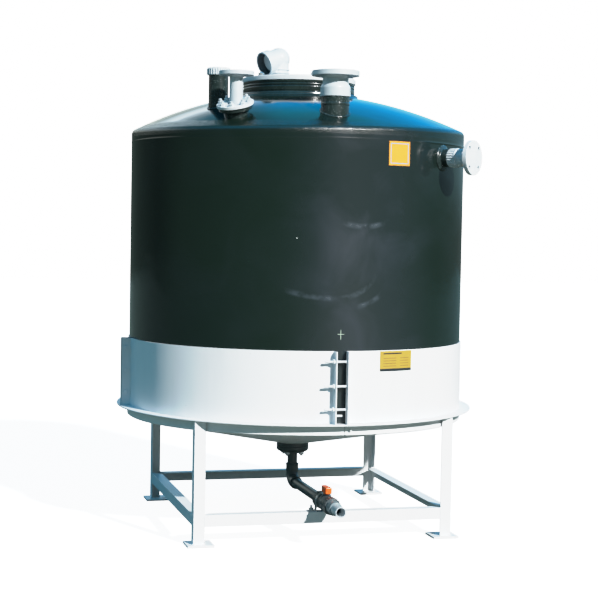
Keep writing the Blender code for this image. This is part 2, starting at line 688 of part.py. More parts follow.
def drain_line():
    """The drain pipe, the ball valve, its handle, the end nipple and the clamp on the front rail."""
    lying = at(0, 0, DRAIN_Z) @ turned_by(math.pi / 2, "X")
    socket = DRAIN_PIPE_R + GAP
    socket_end = VALVE_START + VALVE_SOCKET_LEN
    start = ELBOW_BEND_R + SOCKET_STOP + GAP
    pipe = tube("drain_pipe", DRAIN_PIPE_R, DRAIN_BORE_R, start, socket_end - GAP, BLACK_PVC)
    place(pipe, lying)

    first = VALVE_START + VALVE_NUT_LEN
    second = VALVE_END - VALVE_NUT_LEN
    profile = [(VALVE_NUT_R, VALVE_END), (VALVE_NUT_R, second), (VALVE_BODY_R, second), (VALVE_BODY_R, first),
               (VALVE_NUT_R, first), (VALVE_NUT_R, VALVE_START), (socket, VALVE_START), (socket, socket_end),
               (DRAIN_BORE_R, socket_end), (DRAIN_BORE_R, VALVE_END)]
    body = turned("valve_body", profile, BLACK_PVC, 32)
    place(body, lying)
    boss = rod("valve_boss", VALVE_BOSS_R, DRAIN_Z + DRAIN_BORE_R + VALVE_BOSS_SINK, VALVE_BOSS_TOP_Z)
    place(boss, at(0, -VALVE_STEM_PLACE))
    boolean(body, boss, "UNION")

    profile = [(DRAIN_PIPE_R, NIPPLE_END), (DRAIN_PIPE_R, NIPPLE_COLLAR_END),
               (NIPPLE_COLLAR_R, NIPPLE_COLLAR_END), (NIPPLE_COLLAR_R, VALVE_END + GAP),
               (DRAIN_BORE_R, VALVE_END + GAP), (DRAIN_BORE_R, NIPPLE_END)]
    place(turned("drain_nipple", profile, GREY_PVC, 32), lying)

    hinge = bpy.data.objects.new("valve_hinge", None)
    hinge.location = (0.0, -VALVE_STEM_PLACE, 0.0)
    parts.objects.link(hinge)
    half = HANDLE_WIDE / 2
    grip = HANDLE_LEN / 2
    handle = block("valve_handle", (-half, -grip, HANDLE_LOW_Z), (half, grip, HANDLE_TOP_Z), ORANGE_ABS)
    stem = rod("valve_stem", HANDLE_STEM_R, VALVE_BOSS_TOP_Z + GAP, HANDLE_LOW_Z + CUT_OVER)
    handle.parent = hinge
    stem.parent = hinge
    boolean(handle, stem, "UNION")

    clamp()


def clamp():
    """A strap over the valve body, with an ear on the rail at each side."""
    rail_z = RAIL_TOP_Z + GAP - DRAIN_Z
    ear_z = rail_z + CLAMP_THICK
    inner = VALVE_BODY_R + FACET_GAP
    outer = inner + CLAMP_THICK
    turns = [math.pi * i / 12 for i in range(13)]
    outline = [(CLAMP_HALF, rail_z), (CLAMP_HALF, ear_z), (outer, ear_z)]
    outline += [(outer * math.cos(a), outer * math.sin(a)) for a in turns]
    outline += [(-outer, ear_z), (-CLAMP_HALF, ear_z), (-CLAMP_HALF, rail_z), (-inner, rail_z)]
    outline += [(-inner * math.cos(a), inner * math.sin(a)) for a in turns]
    outline += [(inner, rail_z)]
    strap = prism("pipe_clamp", outline, CLAMP_START, CLAMP_START + CLAMP_WIDE, ZINC)
    strap.matrix_world = at(0, 0, DRAIN_Z) @ turned_by(math.pi / 2, "X") @ strap.matrix_world


def wall_plate(name, radius, wide, low, high, material):
    """A thin plate that follows the facets of the wall."""
    half = wide / radius / 2
    step = 2 * math.pi / TURN_STEPS
    start = PLATE_AZIMUTH - half
    end = PLATE_AZIMUTH + half
    stops = [step * i for i in range(-TURN_STEPS, TURN_STEPS) if start < step * i < end]
    turns = [start] + stops + [end]
    inner = radius + GAP
    outer = inner + PLATE_THICK
    outline = [(facet_radius(outer, a) * math.cos(a), facet_radius(outer, a) * math.sin(a)) for a in turns]
    outline += [(facet_radius(inner, a) * math.cos(a), facet_radius(inner, a) * math.sin(a))
                for a in reversed(turns)]
    prism(name, outline, low, high, material)


ground_pieces()
ring_and_cone()
skirt()
tank()
manhole()
roof_inlet()
flanged_nozzle()
capped_nozzle()
side_nozzle()
outlet()
drain_line()
SKIRT_OUT_R = TANK_R + GAP + SKIRT_THICK
wall_plate("name_plate", SKIRT_OUT_R, NAME_PLATE_WIDE, NAME_PLATE_LOW_Z, NAME_PLATE_TOP_Z, YELLOW_PLATE)
wall_plate("side_label", TANK_R, LABEL_WIDE, LABEL_LOW_Z, LABEL_TOP_Z, YELLOW_PLATE)
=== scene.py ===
# %% [markdown]
# # A black plastic storage tank on a painted steel stand
# The tank is rotomoulded from black polyethylene and stands in a skirt on an angle-steel frame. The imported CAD
# model gives every size. This lesson builds finer pieces over it, one real part at a time, and gives each the
# finish of its real material. Lengths are in metres, Z is the tank's axis and the drain valve looks along -Y.

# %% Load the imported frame
import math
import random

import bmesh
import bpy
from mathutils import Matrix, Vector


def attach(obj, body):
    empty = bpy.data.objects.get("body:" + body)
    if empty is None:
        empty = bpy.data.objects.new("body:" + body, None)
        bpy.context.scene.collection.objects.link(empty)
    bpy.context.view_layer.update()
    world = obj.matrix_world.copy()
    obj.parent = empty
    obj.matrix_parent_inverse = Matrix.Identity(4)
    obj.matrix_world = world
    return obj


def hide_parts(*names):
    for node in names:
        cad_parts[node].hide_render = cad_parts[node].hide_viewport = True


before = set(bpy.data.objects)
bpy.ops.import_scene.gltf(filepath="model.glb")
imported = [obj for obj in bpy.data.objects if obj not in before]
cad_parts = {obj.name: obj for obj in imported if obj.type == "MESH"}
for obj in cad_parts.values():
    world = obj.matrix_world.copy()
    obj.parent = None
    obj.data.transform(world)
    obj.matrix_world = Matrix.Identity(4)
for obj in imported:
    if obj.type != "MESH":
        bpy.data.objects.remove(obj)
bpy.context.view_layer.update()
print("CAD nodes:", len(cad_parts))

# %% [markdown]
# ## The sizes that the pieces share
# These repeat the CAD's own sizes, so that a smooth wall lies where the faceted one was. The pieces that only the
# eye needs, such as bolts and weld beads, take their sizes from the same values.

# %% Shared sizes
GAP = 0.0003
TANK_R = 0.797
WALL = 0.012
SEAM_Z = 1.802
SHOULDER_R = 0.022
CROWN_Z = 2.0484
CROWN_FALL = 3.740
SAG = 0.036
SAG_FROM_R = 0.250
SAG_AZIMUTH = math.radians(-130.0)
CORNER_Z = 0.545
RING_TOP_Z = 0.5615
RING_LOW_Z = 0.510
RING_IN_R = TANK_R + GAP
RING_OUT_R = 0.853
STEEL = 0.006
ANGLE_LEG = 0.050
STAND_HALF = 0.600
PLATE_THICK = 0.009
RAIL_TOP_Z = 0.1375
SKIRT_IN_R = TANK_R + GAP
SKIRT_STEEL = 0.0045
SKIRT_TOP_Z = 0.878
SKIRT_LIP_R = 0.841
SKIRT_HALF_GAP = 0.025
LID_LOW_Z = 2.097
LID_TOP_Z = 2.120
DRAIN_Z = 0.180
random.seed(7)


def crown_z(radius):
    """The height of the roof's outside at a distance from the axis, as it left the mould."""
    return CROWN_Z - radius * radius / CROWN_FALL


def sag(x, y):
    """How far the roof has sagged at a place: most at its rim and on the side of the nozzles."""
    radius = math.hypot(x, y)
    out = max(radius - SAG_FROM_R, 0.0) / (TANK_R - SAG_FROM_R)
    side = (1 + math.cos(math.atan2(y, x) - SAG_AZIMUTH)) / 2
    return SAG * out ** 2 * side ** 1.5


def roof_z(x, y):
    """The height of the sagged roof's outside."""
    return crown_z(math.hypot(x, y)) - sag(x, y)


def cone_z(radius):
    """The height of the steel cone's upper side at a distance from the axis."""
    return 0.3756 + 0.1983 * (radius - 0.090)


print("roof rises", round(crown_z(0.258) - SEAM_Z, 3), "m above the seam")

# %% [markdown]
# ## Turning, bending and joining
# Most of a tank is round, so most of its pieces are profiles turned about an axis. A profile lists points from
# the outside top down and back up the inside. Each corner may be rounded, because no moulded or rolled edge is
# sharp, and it is that small radius that catches the light.

# %% Profiles with rounded corners
UP = Matrix.Identity(4)


def rounded(profile, radius=0.0015, steps=3, closed=True):
    """The profile with each corner rounded. A point's third value sets its own radius."""
    count = len(profile)
    result = []
    for index, point in enumerate(profile):
        here = Vector(point[:2])
        wish = point[2] if len(point) > 2 else radius
        ends = not closed and index in (0, count - 1)
        if wish == 0 or ends:
            result.append(tuple(here))
            continue
        before = Vector(profile[index - 1][:2]) - here
        after = Vector(profile[(index + 1) % count][:2]) - here
        reach = min(wish, before.length * 0.45, after.length * 0.45)
        start = here + before.normalized() * reach
        end = here + after.normalized() * reach
        for step in range(steps + 1):
            t = step / steps
            spot = start * (1 - t) ** 2 + here * (2 * t * (1 - t)) + end * t ** 2
            result.append(tuple(spot))
    return result


def turned(profile, segments=96, closed=True):
    """A mesh of a profile of (radius, height) points turned about Z."""
    mesh = bpy.data.meshes.new("turned")
    shape = bmesh.new()
    rings = []
    for radius, height in profile:
        if radius < 1e-6:
            rings.append([shape.verts.new((0.0, 0.0, height))] * segments)
            continue
        turns = [2 * math.pi * i / segments for i in range(segments)]
        rings.append([shape.verts.new((radius * math.cos(t), radius * math.sin(t), height)) for t in turns])
    pairs = list(zip(rings, rings[1:]))
    if closed:
        pairs.append((rings[-1], rings[0]))
    for first, second in pairs:
        for i in range(segments):
            j = (i + 1) % segments
            corners = list(dict.fromkeys((first[i], first[j], second[j], second[i])))
            if len(corners) > 2:
                shape.faces.new(corners)
    bmesh.ops.recalc_face_normals(shape, faces=shape.faces)
    shape.to_mesh(mesh)
    shape.free()
    return mesh


print("corner of 4 points becomes", len(rounded([(1, 0), (1, 1), (0, 1)], 0.1)))

# %% Outlines, sweeps and the joining of meshes
def extruded(outline, low, high, bevel=0.0):
    """A flat outline in X and Y run from one height to another, with its top and bottom edges eased."""
    mesh = bpy.data.meshes.new("extruded")
    shape = bmesh.new()
    lower = [shape.verts.new((x, y, low)) for x, y in outline]
    upper = [shape.verts.new((x, y, high)) for x, y in outline]
    count = len(outline)
    caps = [shape.faces.new(lower), shape.faces.new(upper)]
    for i in range(count):
        j = (i + 1) % count
        shape.faces.new((lower[i], lower[j], upper[j], upper[i]))
    bmesh.ops.recalc_face_normals(shape, faces=shape.faces)
    if bevel:
        rim = [edge for cap in caps for edge in cap.edges]
        bmesh.ops.bevel(shape, geom=rim, offset=bevel, segments=2, profile=0.5, affect="EDGES")
    shape.to_mesh(mesh)
    shape.free()
    return mesh


def swept(route, radius, segments=12, closed=False):
    """A round bar along a route. The radius is a number or a function of the place along the route, 0 to 1."""
    mesh = bpy.data.meshes.new("swept")
    shape = bmesh.new()
    places = [Vector(p) for p in route]
    count = len(places)
    side = None
    rings = []
    for index, place in enumerate(places):
        after = places[(index + 1) % count] if closed or index < count - 1 else place
        before = places[index - 1] if closed or index > 0 else place
        way = (after - before).normalized()
        if side is None:
            side = way.orthogonal().normalized()
        side = (side - way * side.dot(way)).normalized()
        other = way.cross(side)
        size = radius(index / max(count - 1, 1)) if callable(radius) else radius
        turns = [2 * math.pi * i / segments for i in range(segments)]
        rings.append([shape.verts.new(place + (side * math.cos(t) + other * math.sin(t)) * size) for t in turns])
    pairs = list(zip(rings, rings[1:]))
    if closed:
        offset = min(range(segments), key=lambda k: (rings[0][k].co - rings[-1][0].co).length)
        pairs.append((rings[-1], rings[0][offset:] + rings[0][:offset]))
    else:
        shape.faces.new(rings[0])
        shape.faces.new(rings[-1])
    for first, second in pairs:
        for i in range(segments):
            j = (i + 1) % segments
            shape.faces.new((first[i], first[j], second[j], second[i]))
    bmesh.ops.recalc_face_normals(shape, faces=shape.faces)
    shape.to_mesh(mesh)
    shape.free()
    return mesh


def joined(name, parts):
    """One object from pairs of a mesh and the matrix that places it."""
    shape = bmesh.new()
    for mesh, matrix in parts:
        copy = mesh.copy()
        copy.transform(matrix)
        shape.from_mesh(copy)
        bpy.data.meshes.remove(copy)
    mesh = bpy.data.meshes.new(name)
    shape.to_mesh(mesh)
    shape.free()
    thing = bpy.data.objects.new(name, mesh)
    bpy.context.scene.collection.objects.link(thing)
    return thing


def at(x, y, z=0.0):
    """The matrix that moves to a place."""
    return Matrix.Translation((x, y, z))


def turn(degrees, axis="Z"):
    """The matrix that turns about an axis."""
    return Matrix.Rotation(math.radians(degrees), 4, axis)


print("sweep of 3 points has", len(swept([(0, 0, 0), (0, 0, 1), (0, 1, 1)], 0.1).polygons), "faces")

# %% [markdown]
# ## Fusing and carving
# A moulded elbow has no seams between its tubes and a flange has real bolt holes. A voxel remesh melts joined
# shapes into one skin, smoothing rounds its inner corners as a mould does, and a Boolean carves the holes.

# %% Fuse, carve and show
def settled(thing):
    """Applies the modifiers of an object."""
    bpy.context.view_layer.update()
    graph = bpy.context.evaluated_depsgraph_get()
    mesh = bpy.data.meshes.new_from_object(thing.evaluated_get(graph))
    thing.modifiers.clear()
    thing.data = mesh
    return thing


def fused(thing, voxel, smoothing=6):
    """Melts an object's closed shapes into one skin and rounds its inner corners."""
    remesh = thing.modifiers.new("melt", "REMESH")
    remesh.mode = "VOXEL"
    remesh.voxel_size = voxel
    relax = thing.modifiers.new("relax", "SMOOTH")
    relax.factor = 0.5
    relax.iterations = smoothing
    return settled(thing)


def carved(thing, parts, operation="DIFFERENCE"):
    """Cuts placed meshes out of an object."""
    for mesh, matrix in parts:
        tool = joined("tool", [(mesh, matrix)])
        cut = thing.modifiers.new("cut", "BOOLEAN")
        cut.operation = operation
        cut.object = tool
        cut.solver = "EXACT"
        settled(thing)
        bpy.data.objects.remove(tool, do_unlink=True)
    return thing


def show(thing, finish, stands_for=(), body="tank", crease=35):
    """Gives a piece its finish, smooth shading, its body and the CAD nodes that it stands for."""
    thing.data.materials.clear()
    thing.data.materials.append(finish)
    thing.data.shade_smooth()
    thing.data.set_sharp_from_angle(angle=math.radians(crease))
    even = thing.modifiers.new("even", "WEIGHTED_NORMAL")
    even.keep_sharp = True
    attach(thing, body)
    if stands_for:
        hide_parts(*stands_for)
    print(thing.name, len(thing.data.polygons), "faces")
    return thing


# %% [markdown]
# ## Colours and finishes
# Colours are written as the sRGB hex values that a paint card gives. One function turns them into the linear
# values that the shader works in, and one small function adds a node with its settings and its links.

# %% Colour and node helpers
def linear(code, alpha=1.0):
    """An sRGB hex colour as linear RGBA."""
    values = [int(code[i:i + 2], 16) / 255 for i in (1, 3, 5)]
    return [v / 12.92 if v <= 0.04045 else ((v + 0.055) / 1.055) ** 2.4 for v in values] + [alpha]


def node(tree, kind, settings=None, **links):
    """Adds a node. A setting names an input or a property; a link is an output socket or a value."""
    made = tree.nodes.new(kind)
    for key, value in (settings or {}).items():
        if isinstance(key, int) or key in made.inputs:
            made.inputs[key].default_value = value
        else:
            setattr(made, key, value)
    for key, value in links.items():
        socket = made.inputs[int(key[1:])] if key[1:].isdigit() else made.inputs[key.replace("_", " ")]
        if isinstance(value, bpy.types.NodeSocket):
            tree.links.new(value, socket)
        else:
            socket.default_value = value
    return made


def finish(name, colour, roughness, metallic=0.0, ior=1.5, coat=0.0):
    """A new material with its shader set; returns the material, its tree and its shader."""
    material = bpy.data.materials.new(name)
    material.use_nodes = True
    tree = material.node_tree
    shader = tree.nodes["Principled BSDF"]
    shader.inputs["Base Color"].default_value = linear(colour)
    shader.inputs["Roughness"].default_value = roughness
    shader.inputs["Metallic"].default_value = metallic
    shader.inputs["IOR"].default_value = ior
    shader.inputs["Coat Weight"].default_value = coat
    return material, tree, shader


def blended(tree, low, high, amount):
    """A colour between two colours."""
    mix = node(tree, "ShaderNodeMix", {"data_type": "RGBA"})
    for socket, value in ((mix.inputs[6], low), (mix.inputs[7], high), (mix.inputs[0], amount)):
        if isinstance(value, bpy.types.NodeSocket):
            tree.links.new(value, socket)
        else:
            socket.default_value = value
    return mix.outputs[2]


print("a mid grey is", [round(v, 3) for v in linear("#808080")])

# %% [markdown]
# ## Rotomoulded black polyethylene
# Powder melts onto the inside of a hot mould, so the wall is glossy but gently wavy, and handling leaves it with
# a grey haze, rub marks and a few white specks. A slate band on the front and sun side is painted sheen, where the
# sun glances off the gloss, and the haze is weighted towards it. Polyethylene's index is 1.51. The waves are 0.25 m
# long and the marks are laid out on the unrolled wall: metres round it and metres up.

# %% The tank's plastic
def wall_coordinates(tree):
    """Sockets for metres round the wall, counted from the azimuth of -90 degrees, and metres up."""
    coords = node(tree, "ShaderNodeTexCoord").outputs["Object"]
    split = node(tree, "ShaderNodeSeparateXYZ", _0=coords)
    azimuth = node(tree, "ShaderNodeMath", {"operation": "ARCTAN2"}, _0=split.outputs[0], _1=node(
        tree, "ShaderNodeMath", {"operation": "MULTIPLY"}, _0=split.outputs[1], _1=-1.0).outputs[0])
    around = node(tree, "ShaderNodeMath", {"operation": "MULTIPLY"}, _0=azimuth.outputs[0], _1=TANK_R)
    return coords, around.outputs[0], split.outputs[2]


def maths(tree, operation, a, b=0.0, c=0.0):
    """The output of one sum."""
    return node(tree, "ShaderNodeMath", {"operation": operation}, _0=a, _1=b, _2=c).outputs[0]


def band(tree, value, middle, half, soft):
    """One inside a band about a middle value, falling softly to nothing outside it."""
    away = maths(tree, "ABSOLUTE", maths(tree, "SUBTRACT", value, middle))
    step = node(tree, "ShaderNodeMapRange", {"interpolation_type": "SMOOTHSTEP"}, Value=away)
    step.inputs["From Min"].default_value = half + soft
    step.inputs["From Max"].default_value = half
    return step.outputs[0]


tank_plastic, tree, shader = finish("rotomoulded_black_polyethylene", "#0F1816", 0.16, ior=1.51)
coords, around, height = wall_coordinates(tree)
waves = node(tree, "ShaderNodeTexNoise", {"Scale": 4.0, "Detail": 2.0}, Vector=coords)
haze = node(tree, "ShaderNodeTexNoise", {"Scale": 3.1, "Detail": 4.0, "Roughness": 0.55, "Distortion": 0.8},
            Vector=coords)
haze_mask = node(tree, "ShaderNodeMapRange", {"From Min": 0.42, "From Max": 0.72}, Value=haze.outputs[0])
# Painted sheen: a band on the front and sun side where glancing light lies on the gloss; scuff haze is weighted to it.
painted_sheen_band = band(tree, around, 0.12, 0.10, 0.34)
scuff_haze_with_painted_sheen = maths(tree, "MULTIPLY", haze_mask.outputs[0], maths(tree, "MULTIPLY_ADD", painted_sheen_band, 0.75, 0.25))
haze_and_painted_sheen = maths(tree, "MULTIPLY_ADD", painted_sheen_band, 0.45, maths(tree, "MULTIPLY", scuff_haze_with_painted_sheen, 0.55))
roof = node(tree, "ShaderNodeMapRange", {"From Min": 1.82, "From Max": 1.86}, Value=height).outputs[0]
haze_and_painted_sheen = maths(tree, "MULTIPLY", haze_and_painted_sheen, maths(tree, "MULTIPLY_ADD", roof, -0.85, 1.0))
# The wall turns from near-black to slate where the painted sheen and the haze lie; the roof keeps little of either.
wall_colour = blended(tree, linear("#101D18"), linear("#272F35"), haze_and_painted_sheen)

rubs = 0.0
for s, z, radius, middle, half in ((-0.02, 1.316, 0.210, 0.07, 0.10), (-0.02, 1.886, 0.780, -0.14, 0.12),
                                   (0.05, 1.270, 0.200, 0.13, 0.06), (0.10, 1.720, 0.300, 0.10, 0.12)):
    ds = maths(tree, "SUBTRACT", around, s)
    dz = maths(tree, "SUBTRACT", height, z)
    distance = maths(tree, "SQRT", maths(tree, "ADD", maths(tree, "MULTIPLY", ds, ds),
                                         maths(tree, "MULTIPLY", dz, dz)))
    ring = band(tree, distance, radius, 0.003, 0.014)
    window = maths(tree, "MULTIPLY", band(tree, around, middle, half * 0.5, half * 0.6),
                   band(tree, height, z - radius, 0.06, 0.08))
    rubs = maths(tree, "ADD", rubs, maths(tree, "MULTIPLY", ring, window))
fine = node(tree, "ShaderNodeTexNoise", {"Scale": 22.0, "Detail": 3.0}, Vector=coords)
rub_break = node(tree, "ShaderNodeMapRange", {"From Min": 0.36, "From Max": 0.70}, Value=fine.outputs[0])
rub_amount = maths(tree, "MULTIPLY", rubs, maths(tree, "MULTIPLY", rub_break.outputs[0], 0.32))
rubbed = blended(tree, wall_colour, linear("#5A6672"), rub_amount)

# Specks of paint and dust, 2 to 4 mm across and about 0.2 m apart.
specks = node(tree, "ShaderNodeTexVoronoi", {"Scale": 5.0, "Randomness": 1.0}, Vector=coords)
speck_mask = node(tree, "ShaderNodeMapRange", {"From Min": 0.016, "From Max": 0.008}, Value=specks.outputs[0])
specked = blended(tree, rubbed, linear("#C9D2CF"), maths(tree, "MULTIPLY", speck_mask.outputs[0], 0.85))

# A small crossed mark in chalk, strokes 24 mm long and 1.6 mm wide.
MARK = (0.0, 0.949)
down = maths(tree, "MULTIPLY", band(tree, around, MARK[0], 0.0008, 0.0010),
             band(tree, height, MARK[1], 0.019, 0.004))
across = maths(tree, "MULTIPLY", band(tree, height, MARK[1] + 0.002, 0.0008, 0.0010),
               band(tree, around, MARK[0], 0.013, 0.003))
chalk = maths(tree, "MULTIPLY", maths(tree, "MAXIMUM", down, across), 0.75)
tree.links.new(blended(tree, specked, linear("#B9CDBB"), chalk), shader.inputs["Base Color"])

sheen = maths(tree, "MULTIPLY_ADD", haze_and_painted_sheen, 0.16, 0.11)
wave_bump = node(tree, "ShaderNodeBump", {"Strength": 1.0, "Distance": 0.0022}, Height=waves.outputs[0])
# Hair scratches from handling, a few centimetres long and drawn 2 mm wide so that they show.
stretch = node(tree, "ShaderNodeMapping", {"Scale": (60.0, 60.0, 3.0), "Rotation": (0.3, 0.2, 0.0)},
               Vector=coords)
hairs = node(tree, "ShaderNodeTexNoise", {"Scale": 1.0, "Detail": 1.0}, Vector=stretch.outputs[0])
hair_bump = node(tree, "ShaderNodeBump", {"Strength": 0.10, "Distance": 0.0006}, Height=hairs.outputs[0],
                 Normal=wave_bump.outputs[0])
# The mould's shoulder was blasted, so its skin is grainy, 4 mm from grain to grain.
grain = node(tree, "ShaderNodeTexNoise", {"Scale": 240.0, "Detail": 1.0}, Vector=coords)
shoulder = band(tree, height, 1.848, 0.020, 0.016)
dull = maths(tree, "MULTIPLY_ADD", rub_amount, 0.3, maths(tree, "MULTIPLY_ADD", shoulder, 0.12, sheen))
tree.links.new(dull, shader.inputs["Roughness"])
grain_bump = node(tree, "ShaderNodeBump", {"Distance": 0.0014}, Height=grain.outputs[0],
                  Strength=maths(tree, "MULTIPLY_ADD", shoulder, 0.90, 0.02), Normal=hair_bump.outputs[0])
tree.links.new(grain_bump.outputs[0], shader.inputs["Normal"])
print("tank plastic:", len(tree.nodes), "nodes")

# %% [markdown]
# ## The other plastics
# The necks are thick polyethylene turned on a lathe, duller than the wall and freckled with dust. The pipes and
# flanges are rigid PVC, index 1.53: injection moulded in light grey, or in near-black for the drain. The handle
# is ABS, index 1.54. All have the faint mottle of a moulded skin, about 8 mm from blotch to blotch.

# %% Moulded plastics
def moulded(name, colour, blotch, roughness, ior, blotch_mm=8.0, dust=0.0):
    """A moulded plastic: its colour drifts a little from blotch to blotch and its skin is faintly uneven."""
    material, tree, shader = finish(name, colour, roughness, ior=ior)
    coords = node(tree, "ShaderNodeTexCoord").outputs["Object"]
    mottle = node(tree, "ShaderNodeTexNoise", {"Scale": 1000.0 / blotch_mm / 4, "Detail": 5.0}, Vector=coords)
    drift = node(tree, "ShaderNodeTexNoise", {"Scale": 9.0, "Detail": 2.0}, Vector=coords)
    amount = maths(tree, "MULTIPLY_ADD", mottle.outputs[0], 0.5, maths(tree, "MULTIPLY", drift.outputs[0], 0.5))
    spread = node(tree, "ShaderNodeMapRange", {"From Min": 0.35, "From Max": 0.65}, Value=amount)
    tint = blended(tree, linear(colour), linear(blotch), spread.outputs[0])
    if dust:
        freckles = node(tree, "ShaderNodeTexVoronoi", {"Scale": 110.0}, Vector=coords)
        mask = node(tree, "ShaderNodeMapRange", {"From Min": 0.22, "From Max": 0.08}, Value=freckles.outputs[0])
        patch = maths(tree, "MULTIPLY", mask.outputs[0], maths(tree, "MULTIPLY", drift.outputs[0], dust))
        tint = blended(tree, tint, linear("#9FB0B2"), patch)
    tree.links.new(tint, shader.inputs["Base Color"])
    tree.links.new(maths(tree, "MULTIPLY_ADD", spread.outputs[0], 0.10, roughness - 0.05),
                   shader.inputs["Roughness"])
    bump = node(tree, "ShaderNodeBump", {"Strength": 0.25, "Distance": 0.0004}, Height=mottle.outputs[0])
    tree.links.new(bump.outputs[0], shader.inputs["Normal"])
    return material


neck_plastic = moulded("turned_black_polyethylene", "#1B2625", "#263231", 0.26, 1.51, 6.0, dust=0.8)
manhole_plastic = moulded("ribbed_black_polyethylene", "#141E1C", "#1E2A28", 0.20, 1.51, 6.0)
grey_pvc = moulded("moulded_light_grey_pvc", "#C3CDD2", "#B4C0C6", 0.38, 1.53)
white_pvc = moulded("moulded_pale_grey_pvc", "#D6DDE1", "#C8D1D6", 0.36, 1.53)
mid_pvc = moulded("moulded_mid_grey_pvc", "#78878C", "#6B797E", 0.34, 1.53)
dark_pvc = moulded("moulded_dark_grey_pvc", "#363F42", "#434D51", 0.32, 1.53)
orange_abs = moulded("moulded_orange_abs", "#E8571B", "#F07A1E", 0.32, 1.54)
print("plastics:", neck_plastic.name, grey_pvc.name, dark_pvc.name, orange_abs.name)

# %% [markdown]
# ## Enamel on steel
# The stand is sprayed with an off-white enamel over mild steel. Spray dries with an orange-peel skin, about 3 mm
# from crest to crest, and the paint greys a little where water runs down it. Paint's index is 1.5.

# %% The stand's paint
def enamel(name, colour, shade, roughness):
    """Sprayed enamel: orange peel, soft runs of grime that are long in Z, and a few chips."""
    material, tree, shader = finish(name, colour, roughness, ior=1.5)
    coords = node(tree, "ShaderNodeTexCoord").outputs["Object"]
    long = node(tree, "ShaderNodeMapping", {"Scale": (9.0, 9.0, 1.4)}, Vector=coords)
    runs = node(tree, "ShaderNodeTexNoise", {"Scale": 1.0, "Detail": 5.0, "Roughness": 0.6},
                Vector=long.outputs[0])
    grime = node(tree, "ShaderNodeMapRange", {"From Min": 0.48, "From Max": 0.80}, Value=runs.outputs[0])
    tint = blended(tree, linear(colour), linear(shade), grime.outputs[0])
    chips = node(tree, "ShaderNodeTexVoronoi", {"Scale": 14.0}, Vector=coords)
    chip = node(tree, "ShaderNodeMapRange", {"From Min": 0.030, "From Max": 0.018}, Value=chips.outputs[0])
    tint = blended(tree, tint, linear("#8A8F8E"), maths(tree, "MULTIPLY", chip.outputs[0], 0.6))
    tree.links.new(tint, shader.inputs["Base Color"])
    tree.links.new(maths(tree, "MULTIPLY_ADD", grime.outputs[0], 0.12, roughness), shader.inputs["Roughness"])
    peel = node(tree, "ShaderNodeTexNoise", {"Scale": 330.0, "Detail": 1.0}, Vector=coords)
    sag = node(tree, "ShaderNodeTexNoise", {"Scale": 5.0, "Detail": 1.0}, Vector=coords)
    low_bump = node(tree, "ShaderNodeBump", {"Strength": 0.6, "Distance": 0.002}, Height=sag.outputs[0])
    bump = node(tree, "ShaderNodeBump", {"Strength": 0.08, "Distance": 0.0005}, Height=peel.outputs[0],
                Normal=low_bump.outputs[0])
    tree.links.new(bump.outputs[0], shader.inputs["Normal"])
    return material


stand_paint = enamel("off_white_stand_enamel", "#E6EAED", "#DDE2E5", 0.36)
print("paint:", stand_paint.name)

# %% [markdown]
# ## Metals and printed plates
# The bolts on the roof are stainless steel, and the clamp and its bolts are zinc plated. A metal keeps the
# default index. The two plates are screen printed in yellow on aluminium and lacquered.

# %% Bright metals and the yellow print
def bright_metal(name, colour, shade, roughness):
    """A plated or bare metal with faint stains, about 20 mm from one to the next."""
    material, tree, shader = finish(name, colour, roughness, metallic=1.0)
    coords = node(tree, "ShaderNodeTexCoord").outputs["Object"]
    stain = node(tree, "ShaderNodeTexNoise", {"Scale": 50.0, "Detail": 4.0}, Vector=coords)
    tree.links.new(blended(tree, linear(colour), linear(shade), stain.outputs[0]), shader.inputs["Base Color"])
    tree.links.new(maths(tree, "MULTIPLY_ADD", stain.outputs[0], 0.2, roughness - 0.1),
                   shader.inputs["Roughness"])
    return material


stainless = bright_metal("stainless_steel_bolts", "#D9DCDE", "#B9BEC2", 0.30)
zinc = bright_metal("zinc_plated_steel", "#B9C0C4", "#98A0A4", 0.38)


def printed(name, colour, worn):
    """Screen print under lacquer: even colour that has faded in soft patches of about 30 mm."""
    material, tree, shader = finish(name, colour, 0.32, ior=1.5, coat=0.3)
    coords = node(tree, "ShaderNodeTexCoord").outputs["Object"]
    fade = node(tree, "ShaderNodeTexNoise", {"Scale": 32.0, "Detail": 3.0}, Vector=coords)
    tree.links.new(blended(tree, linear(colour), linear(worn), fade.outputs[0]), shader.inputs["Base Color"])
    return material


label_yellow = printed("printed_pale_yellow", "#F29E3C", "#E8953A")
plate_yellow = printed("printed_deep_yellow", "#B49740", "#A88C3A")
print_blue = printed("printed_sky_blue", "#3E9BCB", "#57A9CF")
print_black = printed("printed_black", "#1B2228", "#2A3338")
print("metals:", stainless.name, zinc.name)

# %% [markdown]
# ## The tank
# Wall, bottom and roof are one moulding, so they are one turned profile here. The roof is a shallow crown that
# rolls over a 22 mm shoulder into the wall. A fine ridge at the foot of the shoulder is the joint of the mould.
# The holes for the nozzles are carved, because the inlet's bore is open to the sky.

